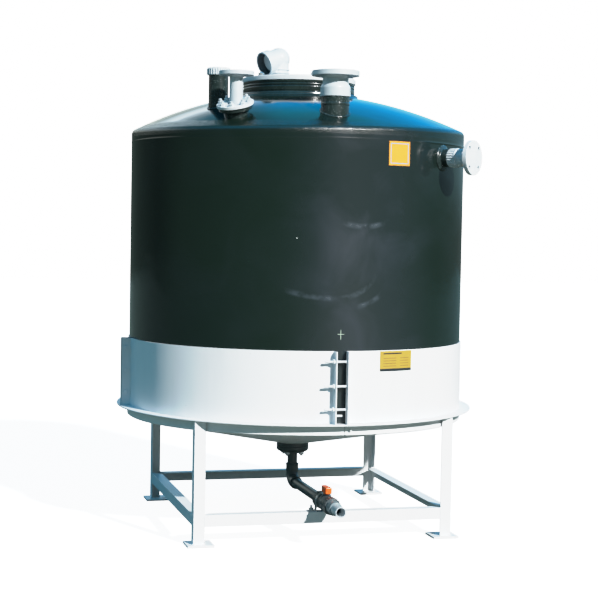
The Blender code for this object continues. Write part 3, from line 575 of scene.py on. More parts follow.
# %% Tank body
INLET = (0.0, -0.640)
FLANGED = (-0.424, -0.535)
CAPPED = (-0.459, -0.314)
NECK_HOLE_R = 0.258
shoulder_r = TANK_R - SHOULDER_R
slope = math.atan(2 * (shoulder_r + SHOULDER_R * 0.4) / CROWN_FALL)
shoulder_z = crown_z(shoulder_r + SHOULDER_R * math.sin(slope)) - SHOULDER_R * math.cos(slope)
bends = [slope + (math.pi / 2 - slope) * i / 10 for i in range(11)]
crown_rings = [NECK_HOLE_R + (0.770 - NECK_HOLE_R) * i / 14 for i in range(15)]
outside = [(r, crown_z(r), 0) for r in crown_rings]
outside += [(shoulder_r + SHOULDER_R * math.sin(a), shoulder_z + SHOULDER_R * math.cos(a), 0) for a in bends]
outside += [(TANK_R, SEAM_Z + 0.010, 0), (TANK_R, SEAM_Z + 0.003, 0), (TANK_R + 0.0006, SEAM_Z + 0.001, 0),
            (TANK_R + 0.0006, SEAM_Z - 0.001, 0), (TANK_R, SEAM_Z - 0.003, 0), (TANK_R, SEAM_Z - 0.010, 0), (TANK_R, CORNER_Z), (TANK_R - 0.0035, 0.530), (TANK_R - 0.012, 0.5205),
            (TANK_R - 0.027, cone_z(TANK_R - 0.027) + GAP), (0.103, 0.3785), (0.025, 0.3785)]
inner_bend = SHOULDER_R - WALL
inside = [(0.025, 0.391), (0.760, 0.5215), (0.775, 0.533), (TANK_R - WALL, CORNER_Z + 0.003)]
inside += [(shoulder_r + inner_bend * math.sin(a), shoulder_z + inner_bend * math.cos(a), 0)
           for a in reversed(bends[::2])]
inside += [(r, crown_z(r) - WALL, 0) for r in reversed(crown_rings[::2])]
tank_body = joined("tank_body", [(turned(rounded(outside + inside), 256), UP)])
SAG_FOOT_Z = SEAM_Z + 0.011
for corner in tank_body.data.vertices:
    share = (corner.co.z - SAG_FOOT_Z) / (shoulder_z - SAG_FOOT_Z)
    corner.co.z -= sag(corner.co.x, corner.co.y) * min(max(share, 0.0), 1.0)
side_way = at(0, 0, 1.736) @ turn(-49) @ turn(90, "Y")
hole = turned([(0.0, -1.0), (1.0, -1.0), (1.0, 1.0), (0.0, 1.0)], 48, closed=False)


def hole_at(matrix, radius, half_length):
    """A round cutter about a matrix's Z axis."""
    return hole, matrix @ Matrix.Diagonal((radius, radius, half_length, 1.0))


carved(tank_body, [hole_at(at(*INLET, 1.95), 0.0505, 0.12), hole_at(at(*FLANGED, 1.95), 0.026, 0.12),
                   hole_at(at(*CAPPED, 1.98), 0.036, 0.12), hole_at(side_way @ at(0, 0, 0.79), 0.0255, 0.03)])
show(tank_body, tank_plastic, ("tank_shell", "tank_roof", "tank_bottom"), crease=50)

# %% [markdown]
# ## Bolts, nuts and washers
# One maker of hex shapes serves every bolt. A hexagon is a turned profile of six segments, with its top eased.
# A stud has real ring grooves at its thread's pitch of 1.5 mm, which is what gives thread its soft glitter.

# %% Fastener makers
def hexagon(radius, low, high):
    """A hexagon head or nut with eased corners at its top."""
    ease = radius * 0.12
    return turned([(0.0, low), (radius, low), (radius, high - ease), (radius - ease, high), (0.0, high)], 6, False)


def stud(radius, low, high, pitch=0.0015, segments=14):
    """A threaded rod."""
    count = max(int((high - low) / pitch), 2)
    profile = [(0.0, low), (radius * 0.86, low)]
    for index in range(count):
        z = low + (high - low) * (index + 0.5) / count
        profile += [(radius, z), (radius * 0.88, z + (high - low) * 0.45 / count)]
    profile += [(radius * 0.80, high), (0.0, high)]
    return turned(profile, segments, False)


def washer(radius, low, thick=0.0018):
    """A flat washer."""
    return turned([(0.0, low), (radius, low), (radius, low + thick * 0.8), (radius * 0.96, low + thick),
                   (0.0, low + thick)], 24, False)


def bolt(size, low=0.0, tip=0.0):
    """Washer and hexagon on a surface at Z = low, with a stud end beyond it where tip is given."""
    head = hexagon(size * 0.98, low + 0.0018, low + 0.0018 + size * 0.8)
    parts = [washer(size * 1.12, low), head]
    if tip:
        parts.append(stud(size * 0.5, low + size * 0.5, low + 0.0018 + size * 0.8 + tip))
    return parts


def circle_of(parts, count, radius, frame_matrix, first=0.0):
    """Copies of the same meshes round a circle, each turned a little at random as real bolts are."""
    result = []
    for index in range(count):
        spin = turn(random.uniform(0, 60))
        place = frame_matrix @ turn(first + 360.0 * index / count) @ at(radius, 0) @ spin
        result += [(mesh, place) for mesh in parts]
    return result


print("one bolt has", sum(len(m.polygons) for m in bolt(0.012, 0, 0.01)), "faces")

# %% [markdown]
# ## The manhole
# The neck is moulded with rolled grooves that stiffen it, and the lid is a flat PVC plate with six bolts. The
# neck meets the roof in a flared foot, and the grooves are part of its profile, because they show as bright rings.

# %% Neck, lid and lid bolts
NECK_R = 0.268
neck = [(NECK_R, LID_LOW_Z - GAP)]
for groove_z in (2.088, 2.075, 2.050):
    neck += [(NECK_R, groove_z, 0.002), (NECK_R - 0.0035, groove_z - 0.003, 0.002), (NECK_R, groove_z - 0.006, 0.002)]
neck += [(NECK_R, 2.0445, 0.004), (0.2835, 2.0425, 0.005), (0.285, crown_z(0.285) + 0.004, 0.004),
         (0.296, crown_z(0.296) - 0.001, 0.002), (0.258, crown_z(0.258) - 0.001), (0.258, 2.005), (0.252, 2.005),
         (0.252, LID_LOW_Z - GAP)]
manhole_neck = joined("manhole_neck_moulding", [(turned(rounded(neck, 0.001), 160), UP)])
show(manhole_neck, manhole_plastic, ("manhole_neck",), crease=50)

lid = [(0.0, LID_TOP_Z), (0.2725, LID_TOP_Z, 0.005), (0.2725, LID_LOW_Z, 0.003), (0.0, LID_LOW_Z)]
manhole_lid = joined("manhole_lid_plate", [(turned(rounded(lid, closed=False), 160, False), UP)])
VENT = (-0.0968, 0.0253)
carved(manhole_lid, [hole_at(at(*VENT, 2.108), 0.0445, 0.03)])
show(manhole_lid, white_pvc, ("manhole_lid",))
lid_bolts = joined("manhole_lid_bolts", circle_of(bolt(0.014, LID_TOP_Z, 0.004), 6, 0.254, UP, -149))
show(lid_bolts, stainless)

# %% [markdown]
# ## The vent elbow
# A moulded short elbow turns the vent downward so that no rain gets in. It is one skin: bars and a ball melted
# together by a voxel remesh, then bored. The socket at the mouth is wider inside than the pipe behind it.

# %% Short elbow
VENT_CORNER_Z = 2.217
VENT_TURN = 110.0
vent_frame = at(*VENT) @ turn(-160)
vent_way = vent_frame @ at(0, 0, VENT_CORNER_Z) @ turn(VENT_TURN, "Y")


def bar(radius, low, high, segments=64):
    """A plain round bar, used only as stock to melt together or to cut with."""
    return turned([(0.0, low), (radius, low), (radius, high), (0.0, high)], segments, closed=False)


def ball(radius, segments=64, steps=24):
    """A ball, used as the corner of an elbow."""
    turns = [math.pi * i / steps for i in range(steps + 1)]
    return turned([(radius * math.sin(t), -radius * math.cos(t)) for t in turns], segments, closed=False)


corner = vent_frame @ at(0, 0, VENT_CORNER_Z)
vent = joined("vent_elbow_moulding", [(bar(0.049, LID_TOP_Z + GAP, VENT_CORNER_Z), vent_frame),
                                      (ball(0.0535), corner), (bar(0.052, 0.0, 0.089), vent_way),
                                      (bar(0.0590, 0.050, 0.089), vent_way),
                                      (bar(0.0535, 2.146, 2.152), vent_frame),
                                      (bar(0.0535, 2.162, 2.168), vent_frame),
                                      (bar(0.0560, LID_TOP_Z + GAP, 2.128), vent_frame)])
fused(vent, 0.0014, 3)
carved(vent, [(bar(0.0425, 2.05, VENT_CORNER_Z), vent_frame), (ball(0.0425), corner),
              (bar(0.0425, 0.0, 0.060), vent_way), (bar(0.0525, 0.056, 0.120), vent_way)])
show(vent, grey_pvc, ("vent_elbow",), crease=60)
# Painted shade: a dark PVC sleeve and a disc that closes the bore darken the shaded inside of the mouth.
shade_liner = [(0.0, 0.030), (0.0390, 0.030), (0.0410, 0.0575, 0.001), (0.0500, 0.0580, 0.001), (0.0505, 0.0870, 0.001),
          (0.0523, 0.0870, 0.001), (0.0523, 0.0563), (0.0422, 0.0563), (0.0422, 0.027), (0.0, 0.027)]
vent_shade_liner = joined("vent_painted_shade_liner", [(turned(rounded(shade_liner, closed=False), 64, False), vent_way)])
show(vent_shade_liner, dark_pvc)
vent_bolts = joined("vent_foot_bolts", circle_of(bolt(0.008, LID_TOP_Z, 0.002), 4, 0.066, at(*VENT), 20))
show(vent_bolts, stainless)

# %% [markdown]
# ## The roof nozzles
# The necks are welded to the roof with a bead of molten polyethylene, so each bead follows the line where a round
# neck meets the sloping crown. The PVC pipes are screwed on with union nuts and end in drilled pipe flanges.

# %% Weld beads on the roof
def roof_bead(place, radius, thick=0.005, count=72):
    """The route of a weld where an upright neck of that radius meets the roof, with a lumpy radius."""
    x, y = place
    route = []
    for index in range(count):
        t = 2 * math.pi * index / count
        px, py = x + radius * math.cos(t), y + radius * math.sin(t)
        route.append((px, py, roof_z(px, py) + 0.001))
    phase = random.uniform(0, 6)
    return swept(route, lambda t: thick * (1 + 0.10 * math.sin(t * 120 + phase) + 0.06 * math.sin(t * 47)),
                 10, closed=True)


roof_welds = joined("roof_neck_welds", [(roof_bead(INLET, 0.0635), UP), (roof_bead(CAPPED, 0.0455), UP)])
show(roof_welds, neck_plastic, crease=80)

# %% Inlet
INLET_TOP_Z = 1.989
inlet_neck = [(0.0625, INLET_TOP_Z, 0.002), (0.0625, 1.962, 0.002), (0.0640, 1.960, 0.001), (0.0640, 1.952, 0.001),
              (0.0625, 1.950, 0.002), (0.0625, 1.895), (0.0505, 1.895), (0.0505, INLET_TOP_Z)]
neck_piece = joined("inlet_neck_turned", [(turned(rounded(inlet_neck, 0.001), 96), at(*INLET))])
show(neck_piece, neck_plastic, ("inlet_neck",))

low = INLET_TOP_Z + GAP
nut = [(0.0590, low + 0.0547, 0.002), (0.0625, low + 0.050, 0.006), (0.0668, low + 0.040, 0.005), (0.0675, low, 0.002),
       (0.0573, low), (0.0573, low + 0.0547)]
inlet_nut = joined("inlet_union_nut_moulded", [(turned(rounded(nut), 96), at(*INLET))])
show(inlet_nut, grey_pvc, ("inlet_union_nut",))


def pipe_flange(name, pipe_r, bore_r, flange_r, low, flange_low, flange_top, bolt_circle, bolt_hole, holes, way):
    """A pipe with a drilled flange at its top. The pipe runs up from low along the way's Z axis."""
    profile = [(flange_r, flange_top, 0.0015), (flange_r, flange_low, 0.0015), (pipe_r + 0.008, flange_low, 0.002),
               (pipe_r, flange_low - 0.008, 0.006), (pipe_r, low), (bore_r, low), (bore_r, flange_top)]
    thing = joined(name, [(turned(rounded(profile), 96), way)])
    middle = (flange_low + flange_top) / 2
    spots = [way @ turn(360.0 * (i + 0.5) / holes) @ at(bolt_circle, 0, middle) for i in range(holes)]
    return carved(thing, [hole_at(spot, bolt_hole, 0.02) for spot in spots])


inlet_pipe = pipe_flange("inlet_pipe_and_flange", 0.057, 0.0505, 0.105, low, 2.080, 2.102, 0.0875, 0.0095, 8,
                         at(*INLET))
show(inlet_pipe, grey_pvc, ("inlet_flange_pipe",))

# %% [markdown]
# The smaller nozzle is bolted to a pad that is moulded square to the roof, so its flange leans outward while its
# pipe stands upright. Eight studs with nuts stand on the flange.

# %% Flanged nozzle
pad_r = math.hypot(*FLANGED)
pad_frame = (at(*FLANGED, crown_z(pad_r)) @ Matrix.Rotation(math.atan2(FLANGED[1], FLANGED[0]), 4, "Z")
             @ Matrix.Rotation(math.atan(2 * pad_r / CROWN_FALL), 4, "Y"))
pad = [(0.0303, 0.020), (0.0750, 0.020, 0.003), (0.0750, 0.003, 0.004), (0.0560, -0.003, 0.006),
       (0.0540, -0.052), (0.0303, -0.052)]
nozzle_pad = joined("nozzle_pad_moulding", [(turned(rounded(pad), 96), pad_frame)])
show(nozzle_pad, neck_plastic, ("flanged_nozzle_pad",))
base = [(0.0345, 0.0203 + 0.013), (0.0825, 0.0203 + 0.013, 0.002), (0.0825, 0.0203, 0.002), (0.0345, 0.0203)]
nozzle_base = joined("nozzle_base_flange", [(turned(rounded(base), 96), pad_frame)])
show(nozzle_base, white_pvc, ("flanged_nozzle_base",))
studs = circle_of(bolt(0.013, 0.0203 + 0.013, 0.010), 8, 0.064, pad_frame, 12)
nozzle_studs = joined("nozzle_base_studs", studs)
show(nozzle_studs, grey_pvc)
nozzle_pipe = pipe_flange("nozzle_pipe_and_flange", 0.030, 0.0255, 0.0775, 1.890, 2.075, 2.093, 0.060, 0.0095, 4,
                          at(*FLANGED))
show(nozzle_pipe, grey_pvc, ("flanged_nozzle_pipe",))

# %% [markdown]
# The third nozzle is closed by a screwed cap with grip ribs. The cap is a turned blank, and its ribs are small
# half-round bars set round its rim.

# %% Capped nozzle
capped_neck = [(0.0445, 2.093), (0.0445, 1.94), (0.0365, 1.94), (0.0365, 2.093)]
capped_piece = joined("capped_nozzle_turned", [(turned(rounded(capped_neck, 0.001), 80), at(*CAPPED))])
show(capped_piece, neck_plastic, ("capped_nozzle_neck",))


def ribbed(radius, low, high, ribs, rib_r, segments=96):
    """Half-round grip ribs round a cap or a nut."""
    rib = turned([(0.0, low), (rib_r * 0.7, low), (rib_r, low + rib_r), (rib_r, high - rib_r), (rib_r * 0.7, high),
                  (0.0, high)], 10, closed=False)
    return [(rib, turn(360.0 * i / ribs) @ at(radius, 0)) for i in range(ribs)]


cap_low = 2.0933
cap = [(0.0, cap_low + 0.034), (0.0505, cap_low + 0.034, 0.004), (0.0505, cap_low, 0.001), (0.0, cap_low)]
cap_parts = [(turned(rounded(cap, closed=False), 96, False), UP)] + ribbed(0.0500, cap_low + 0.002, cap_low + 0.031,
                                                                         28, 0.0034)
cap_piece = joined("capped_nozzle_ribbed_cap", [(mesh, at(*CAPPED) @ m) for mesh, m in cap_parts])
show(cap_piece, grey_pvc, ("capped_nozzle_cap",))

# %% [markdown]
# ## The side nozzle
# High on the wall a round pad and a neck carry a ribbed union nut and a blank flange. All of it turns about one
# level axis, so the same makers are placed with one matrix whose Z points out of the wall.

# %% Side nozzle
side_neck = [(0.0410, 0.8350, 0.002), (0.0410, 0.806, 0.004), (0.0560, 0.8035, 0.003), (0.0600, 0.7985, 0.002),
             (0.0600, 0.7890), (0.0410, 0.7770), (0.0255, 0.7770), (0.0255, 0.8350)]
side_piece = joined("side_nozzle_turned_neck", [(turned(rounded(side_neck, 0.001), 96), side_way)])
show(side_piece, neck_plastic, ("side_nozzle_neck",))
nut = [(0.0363, 0.8800), (0.0400, 0.8800, 0.002), (0.0400, 0.8353, 0.001), (0.0363, 0.8353)]
nut_parts = [(turned(rounded(nut), 96), UP)] + ribbed(0.0397, 0.8375, 0.8700, 24, 0.0036)
nut_parts.append((turned(rounded([(0.0400, 0.8800, 0.003), (0.0435, 0.8780, 0.002), (0.0435, 0.8700, 0.001),
                                  (0.0400, 0.8700), (0.0370, 0.8750)]), 96), UP))
side_nut = joined("side_nozzle_ribbed_nut", [(mesh, side_way @ m) for mesh, m in nut_parts])
show(side_nut, white_pvc, ("side_nozzle_union_nut",))
blank = [(0.0, 0.956), (0.0775, 0.956, 0.0015), (0.0775, 0.936, 0.0015), (0.046, 0.936, 0.002), (0.040, 0.928, 0.005),
         (0.0400, 0.8803), (0.0360, 0.8803), (0.0360, 0.8353), (0.0255, 0.8353), (0.0255, 0.936), (0.0, 0.936)]
side_flange = joined("side_nozzle_blank_plate", [(turned(rounded(blank, closed=False), 96, False), side_way)])
carved(side_flange, [hole_at(side_way @ turn(45 + 90 * i) @ at(0.060, 0, 0.946), 0.0085, 0.02) for i in range(4)])
show(side_flange, white_pvc, ("side_nozzle_blank_flange",))

# %% [markdown]
# ## Two plates
# A label on the wall and a type plate on the skirt are thin printed sheets bent to the curve. Their print is
# generic: a border, ruled rows and a dark foot strip, laid 0.05 mm proud of the plate as screen ink lies.

# %% Label and type plate
PLATE_MIDDLE = -70.4


def wall_sheet(radius, thick, left, right, low, high):
    """A thin sheet bent to the wall. Left and right are metres from the plates' middle line."""
    steps = 12
    turns = [math.radians(PLATE_MIDDLE) + (left + (right - left) * i / steps) / radius for i in range(steps + 1)]
    outer = [((radius + thick) * math.cos(t), (radius + thick) * math.sin(t)) for t in turns]
    inner = [(radius * math.cos(t), radius * math.sin(t)) for t in reversed(turns)]
    return extruded(outer + inner, low, high)


def frame_strips(radius, half, low, high, inset, wide):
    """Four printed strips that make a border."""
    left, right = -half + inset, half - inset
    bottom, top = low + inset, high - inset
    spans = ((left, right, top - wide, top), (left, right, bottom, bottom + wide),
             (left, left + wide, bottom + wide, top - wide), (right - wide, right, bottom + wide, top - wide))
    return [(wall_sheet(radius, 0.00015, *span), UP) for span in spans]


label_r = TANK_R + GAP
side_label = joined("side_label_sheet", [(wall_sheet(label_r, 0.0010, -0.0575, 0.0575, 1.690, 1.796), UP)])
show(side_label, label_yellow, ("side_label",))
label_print = joined("side_label_border", frame_strips(label_r + 0.00105, 0.0575, 1.690, 1.796, 0.008, 0.0035))
show(label_print, print_blue)

plate_r = SKIRT_IN_R + SKIRT_STEEL + GAP
name_plate = joined("name_plate_sheet", [(wall_sheet(plate_r, 0.0012, -0.0865, 0.0865, 0.786, 0.875), UP)])
show(name_plate, plate_yellow, ("name_plate",))
ink_r = plate_r + 0.00125
rows = [(wall_sheet(ink_r, 0.00015, -0.0865, 0.0865, 0.786, 0.7975), UP),
        (wall_sheet(ink_r, 0.00015, -0.070, 0.030, 0.8610, 0.8665), UP)]
for row in range(4):
    row_z = 0.808 + 0.0115 * row
    rows.append((wall_sheet(ink_r, 0.00015, -0.070, 0.000, row_z, row_z + 0.0014), UP))
    rows.append((wall_sheet(ink_r, 0.00015, 0.022, 0.070, row_z, row_z + 0.0014), UP))
plate_print = joined("name_plate_print", rows)
show(plate_print, print_black)

# %% [markdown]
# ## The skirt
# Four quarter sheets of 4.5 mm steel are rolled to the wall and bent outward at their ends. Threaded rods draw
# the ends together. A sheet is a middle line thickened to both sides, with a bend radius of 8 mm at its flanges.

# %% Skirt sheets
def strip(route, thick):
    """The outline of a bent strip, from its middle line."""
    left, right = [], []
    for index, place in enumerate(route):
        before = Vector(route[max(index - 1, 0)])
        after = Vector(route[min(index + 1, len(route) - 1)])
        way = (after - before).normalized()
        side = Vector((-way.y, way.x)) * thick / 2
        left.append(tuple(Vector(place) + side))
        right.append(tuple(Vector(place) - side))
    return left + right[::-1]


middle_r = SKIRT_IN_R + SKIRT_STEEL / 2
flange_x = SKIRT_HALF_GAP + SKIRT_STEEL / 2
first = -math.pi / 2 + math.asin(flange_x / middle_r)
last = -math.asin(flange_x / middle_r)
arc = [first + (last - first) * i / 56 for i in range(57)]
line = [(flange_x, -SKIRT_LIP_R)] + [(middle_r * math.cos(a), middle_r * math.sin(a), 0) for a in arc]
line += [(SKIRT_LIP_R, -flange_x)]
line[1] = line[1][:2] + (0.009,)
line[-2] = line[-2][:2] + (0.009,)
sheet = extruded(strip(rounded(line, closed=False, steps=5), SKIRT_STEEL), RING_TOP_Z + GAP, SKIRT_TOP_Z, 0.0006)
for index, corner in enumerate(("front_right", "back_right", "back_left", "front_left")):
    piece = joined("skirt_sheet_" + corner, [(sheet, turn(90 * index))])
    show(piece, stand_paint, ("skirt_" + corner,))

# %% Skirt rods
ROD_R = 0.825
for index, corner in enumerate(("front", "right", "back", "left")):
    parts = []
    for rod_z in (0.834, 0.727, 0.626):
        way = turn(90 * index) @ at(0, -ROD_R, rod_z) @ turn(-90, "Y")
        spin = turn(random.uniform(0, 60))
        far = SKIRT_HALF_GAP + SKIRT_STEEL
        past = random.uniform(0.046, 0.054)
        parts += [(stud(0.0055, -far - 0.004, far + past), way), (hexagon(0.0112, far + 0.002, far + 0.0105), way @ spin),
                  (washer(0.0118, far), way), (hexagon(0.0105, far, far + 0.0075), way @ turn(180, "X") @ spin)]
    stub = turn(90 * index) @ at(0, -ROD_R, 0.599) @ turn(-90, "Y")
    parts.append((bar(0.0045, -0.004, SKIRT_HALF_GAP), stub))
    rods = joined("skirt_rods_" + corner, parts)
    show(rods, stand_paint)

# %% [markdown]
# ## The ring and the cone
# The ring is a rolled steel angle with a rounded root, closed by a bolted splice at the front. The tank's weight
# rests on the sheet cone that is welded inside it. One radial seam and a lumpy bead show from below.

# %% Ring, cone and their welds
ring = [(RING_OUT_R, RING_TOP_Z, 0.0012), (RING_OUT_R, RING_TOP_Z - STEEL, 0.003),
        (RING_IN_R + STEEL, RING_TOP_Z - STEEL, 0.006), (RING_IN_R + STEEL, RING_LOW_Z, 0.003),
        (RING_IN_R, RING_LOW_Z, 0.001), (RING_IN_R, RING_TOP_Z, 0.001)]
ring_piece = joined("ring_rolled_angle", [(turned(rounded(ring), 256), UP)])
splice = turn(-88.3) @ at(0.83, 0, 0.535)
slot_cut = extruded([(-0.05, -0.0013), (0.05, -0.0013), (0.05, 0.0013), (-0.05, 0.0013)], -0.05, 0.05)
carved(ring_piece, [(slot_cut, splice)])
show(ring_piece, stand_paint, ("ring_angle",))
splice_parts = []
for azimuth in (-86.6,):
    way = turn(azimuth) @ at(RING_IN_R + STEEL, 0, 0.533) @ turn(90, "Y")
    splice_parts += [(mesh, way) for mesh in bolt(0.008, 0.0, 0.006)]
splice_bolts = joined("ring_splice_bolts", splice_parts)
show(splice_bolts, stand_paint)

cone = [(TANK_R, cone_z(TANK_R)), (TANK_R, cone_z(TANK_R) - 0.0046), (0.090, 0.371), (0.090, 0.3756)]
cone_piece = joined("support_cone_sheet", [(turned(rounded(cone, 0.001), 192), UP)])
show(cone_piece, stand_paint, ("support_cone",))


def bead(route, size, closed=False, segments=8):
    """A weld bead: a thin bar with the ripple of its passes, one every 4 mm."""
    length = sum((Vector(b) - Vector(a)).length for a, b in zip(route, route[1:]))
    count = max(int(length / 0.002), 4)
    places, walked = [], 0.0
    for a, b in zip(route, route[1:]):
        step = (Vector(b) - Vector(a)).length
        for index in range(max(int(count * step / length), 1)):
            places.append(Vector(a).lerp(Vector(b), index / max(int(count * step / length), 1)))
        walked += step
    if not closed:
        places.append(Vector(route[-1]))
    return swept(places, lambda t: size * (1 + 0.13 * math.sin(t * length / 0.004 * 2 * math.pi)), segments, closed)


def circle(radius, z, count=180):
    """Points round the tank's axis, closed on the first."""
    turns = [2 * math.pi * i / count for i in range(count + 1)]
    return [(radius * math.cos(t), radius * math.sin(t), z) for t in turns]


under = cone_z(TANK_R) - 0.0046
seam = [(r, 0.0, cone_z(r) - 0.0050) for r in (0.110, 0.790)]
cone_welds = joined("cone_welds", [(bead(circle(TANK_R - 0.001, under - 0.001), 0.003, True, 6), UP),
                                   (bead(seam, 0.0026, segments=6), turn(-32))])
show(cone_welds, stand_paint, crease=80)

# %% [markdown]
# ## The stand
# Legs and rails are rolled 50 x 50 x 6 mm angle. A rolled angle has a round root and round toes, and its corners
# are welded with a bead that the paint then covers. Each leg stands on a base plate with an anchor hole.

# %% Legs, rails and base plates
heel = -STAND_HALF
toe = heel + ANGLE_LEG
back = heel + STEEL
corners = ("front_left", "front_right", "back_right", "back_left")
angle = [(heel, heel, 0.0012), (toe, heel, 0.0012), (toe, back, 0.004), (back, back, 0.006), (back, toe, 0.004),
         (heel, toe, 0.0012)]
leg_top = RING_TOP_Z - STEEL - GAP
leg = extruded(rounded(angle, steps=4), PLATE_THICK + GAP, leg_top)
plate_out = heel - 0.030
plate_in = plate_out + 0.120
plate = extruded(rounded([(plate_out, plate_out), (plate_in, plate_out), (plate_in, plate_in), (plate_out, plate_in)],
                         0.003), 0.0, PLATE_THICK, 0.0008)
foot_z = PLATE_THICK + 0.001
around_leg = [(heel, toe, foot_z), (heel, heel, foot_z), (toe, heel, foot_z)]
inside_leg = [(toe, back, foot_z), (back, back, foot_z), (back, toe, foot_z)]
top_leg = [(heel + 0.010, toe, leg_top), (back, back, leg_top), (toe, heel + 0.010, leg_top)]
for index, corner in enumerate(corners):
    piece = joined("base_plate_cut_" + corner, [(plate, turn(90 * index))])
    carved(piece, [hole_at(turn(90 * index) @ at(-0.538, -0.538, 0.005), 0.009, 0.02)])
    show(piece, stand_paint, ("base_plate_" + corner,))
    piece = joined("leg_rolled_" + corner, [(leg, turn(90 * index))])
    show(piece, stand_paint, ("leg_" + corner,))

half = -toe - GAP
rail_low = RAIL_TOP_Z - ANGLE_LEG
rail_under = RAIL_TOP_Z - STEEL
section = [(heel, rail_low, 0.0012), (back, rail_low, 0.004), (back, rail_under, 0.006), (toe, rail_under, 0.004),
           (toe, RAIL_TOP_Z, 0.0012), (heel, RAIL_TOP_Z, 0.0012)]
along_x = Matrix(((0, 0, 1, 0), (1, 0, 0, 0), (0, 1, 0, 0), (0, 0, 0, 1)))
rail = extruded(rounded(section, steps=4), -half, half)
clip = extruded([(-0.05, 0.0), (0.05, 0.0), (0.05, 0.08), (-0.05, 0.08)], -0.02, 0.02)
for index, side in enumerate(("front", "right", "back", "left")):
    piece = joined("rail_rolled_" + side, [(rail, turn(90 * index) @ along_x)])
    clips = [(clip, turn(90 * index) @ at(way * (half - 0.015), toe - 0.015, RAIL_TOP_Z) @ turn(-45 * way))
             for way in (-1, 1)]
    carved(piece, clips)
    show(piece, stand_paint, ("rail_" + side,))

rail_end = [(toe - 0.0002, heel - 0.0003, rail_low + 0.002), (toe - 0.0002, heel - 0.0003, RAIL_TOP_Z - 0.002)]
rail_top = [(toe - 0.0002, heel + 0.002, RAIL_TOP_Z + 0.0003), (toe - 0.0002, heel + 0.018, RAIL_TOP_Z + 0.0003)]
mirror = Matrix(((0, 1, 0, 0), (1, 0, 0, 0), (0, 0, 1, 0), (0, 0, 0, 1)))
weld_parts = []
for index in range(4):
    spin = turn(90 * index)
    weld_parts += [(bead(around_leg, 0.0035), spin), (bead(inside_leg, 0.0030), spin), (bead(top_leg, 0.0030), spin)]
    for flip in (UP, mirror):
        weld_parts += [(bead(rail_end, 0.0018), spin @ flip), (bead(rail_top, 0.0022), spin @ flip)]
stand_welds = joined("stand_welds", weld_parts)
show(stand_welds, stand_paint, crease=80)

# %% [markdown]
# ## Outlet and drain
# Two dark PVC flanges clamp the outlet, and the drop pipe is solvent-welded into an elbow. Each moulded fitting
# is melted from bars as the vent was, and its sockets are then bored so that the pipes enter them.

# %% Outlet flanges, drop pipe and elbow
upper = [(0.0775, 0.3782, 0.007), (0.0775, 0.3512, 0.002), (0.0258, 0.3512, 0.001), (0.0258, 0.3782, 0.001)]
outlet_upper = joined("outlet_flange_upper", [(turned(rounded(upper), 96), UP)])
show(outlet_upper, dark_pvc, ("outlet_flange_tank",))
lower = [(0.0775, 0.3507, 0.002), (0.0775, 0.3300, 0.009), (0.0620, 0.3230, 0.003), (0.0330, 0.3230, 0.001),
         (0.0243, 0.3230, 0.001), (0.0243, 0.3507, 0.001)]
outlet_lower = joined("outlet_flange_lower", [(turned(rounded(lower), 96), UP)])
show(outlet_lower, dark_pvc, ("outlet_flange_pipe",))
flange_bolts = circle_of(bolt(0.013, 0.0, 0.006), 4, 0.050, at(0, 0, 0.3229) @ turn(180, "X"), 45)
outlet_bolts = joined("outlet_flange_bolts", flange_bolts)
show(outlet_bolts, zinc)

PIPE_R = 0.024
BORE_R = 0.020
BEND = 0.045
drop = [(PIPE_R, 0.350), (PIPE_R, 0.2263), (BORE_R, 0.2263), (BORE_R, 0.350)]
drop_pipe = joined("drop_pipe_cut", [(turned(rounded(drop, 0.0005), 64), UP)])
show(drop_pipe, dark_pvc, ("drop_pipe",))

lying = at(0, 0, DRAIN_Z) @ turn(90, "X")
quarter = [math.pi / 2 * i / 16 for i in range(17)]
bend_route = [(0.0, -BEND + BEND * math.cos(t), DRAIN_Z + BEND - BEND * math.sin(t)) for t in quarter]
elbow = joined("drain_elbow_moulding", [(swept([(0, 0, 0.262)] + bend_route + [(0, -0.082, DRAIN_Z)], 0.0290, 48), UP),
                                        (bar(0.0300, 0.2300, 0.2648), UP), (bar(0.0312, 0.2580, 0.2648), UP),
                                        (bar(0.0300, 0.0500, 0.0848), lying), (bar(0.0312, 0.0780, 0.0848), lying)])
fused(elbow, 0.0013, 5)
carved(elbow, [(bar(PIPE_R + 0.0003, 0.2263, 0.30), UP), (bar(PIPE_R + 0.0003, 0.0463, 0.12), lying)])
show(elbow, dark_pvc, ("drain_elbow",), crease=60)

pipe = [(PIPE_R, 0.5397), (PIPE_R, 0.0463), (BORE_R, 0.0463), (BORE_R, 0.5397)]
drain_pipe = joined("drain_pipe_cut", [(turned(rounded(pipe, 0.0005), 64), lying)])
show(drain_pipe, dark_pvc, ("drain_pipe",))

# %% [markdown]
# ## The ball valve
# Two union nuts with moulded grips hold the valve's body, which carries a boss for the stem. Its handle turns a
# quarter, so it is a piece of its own that rides the handle's body. It stands along the pipe, so the way is open.

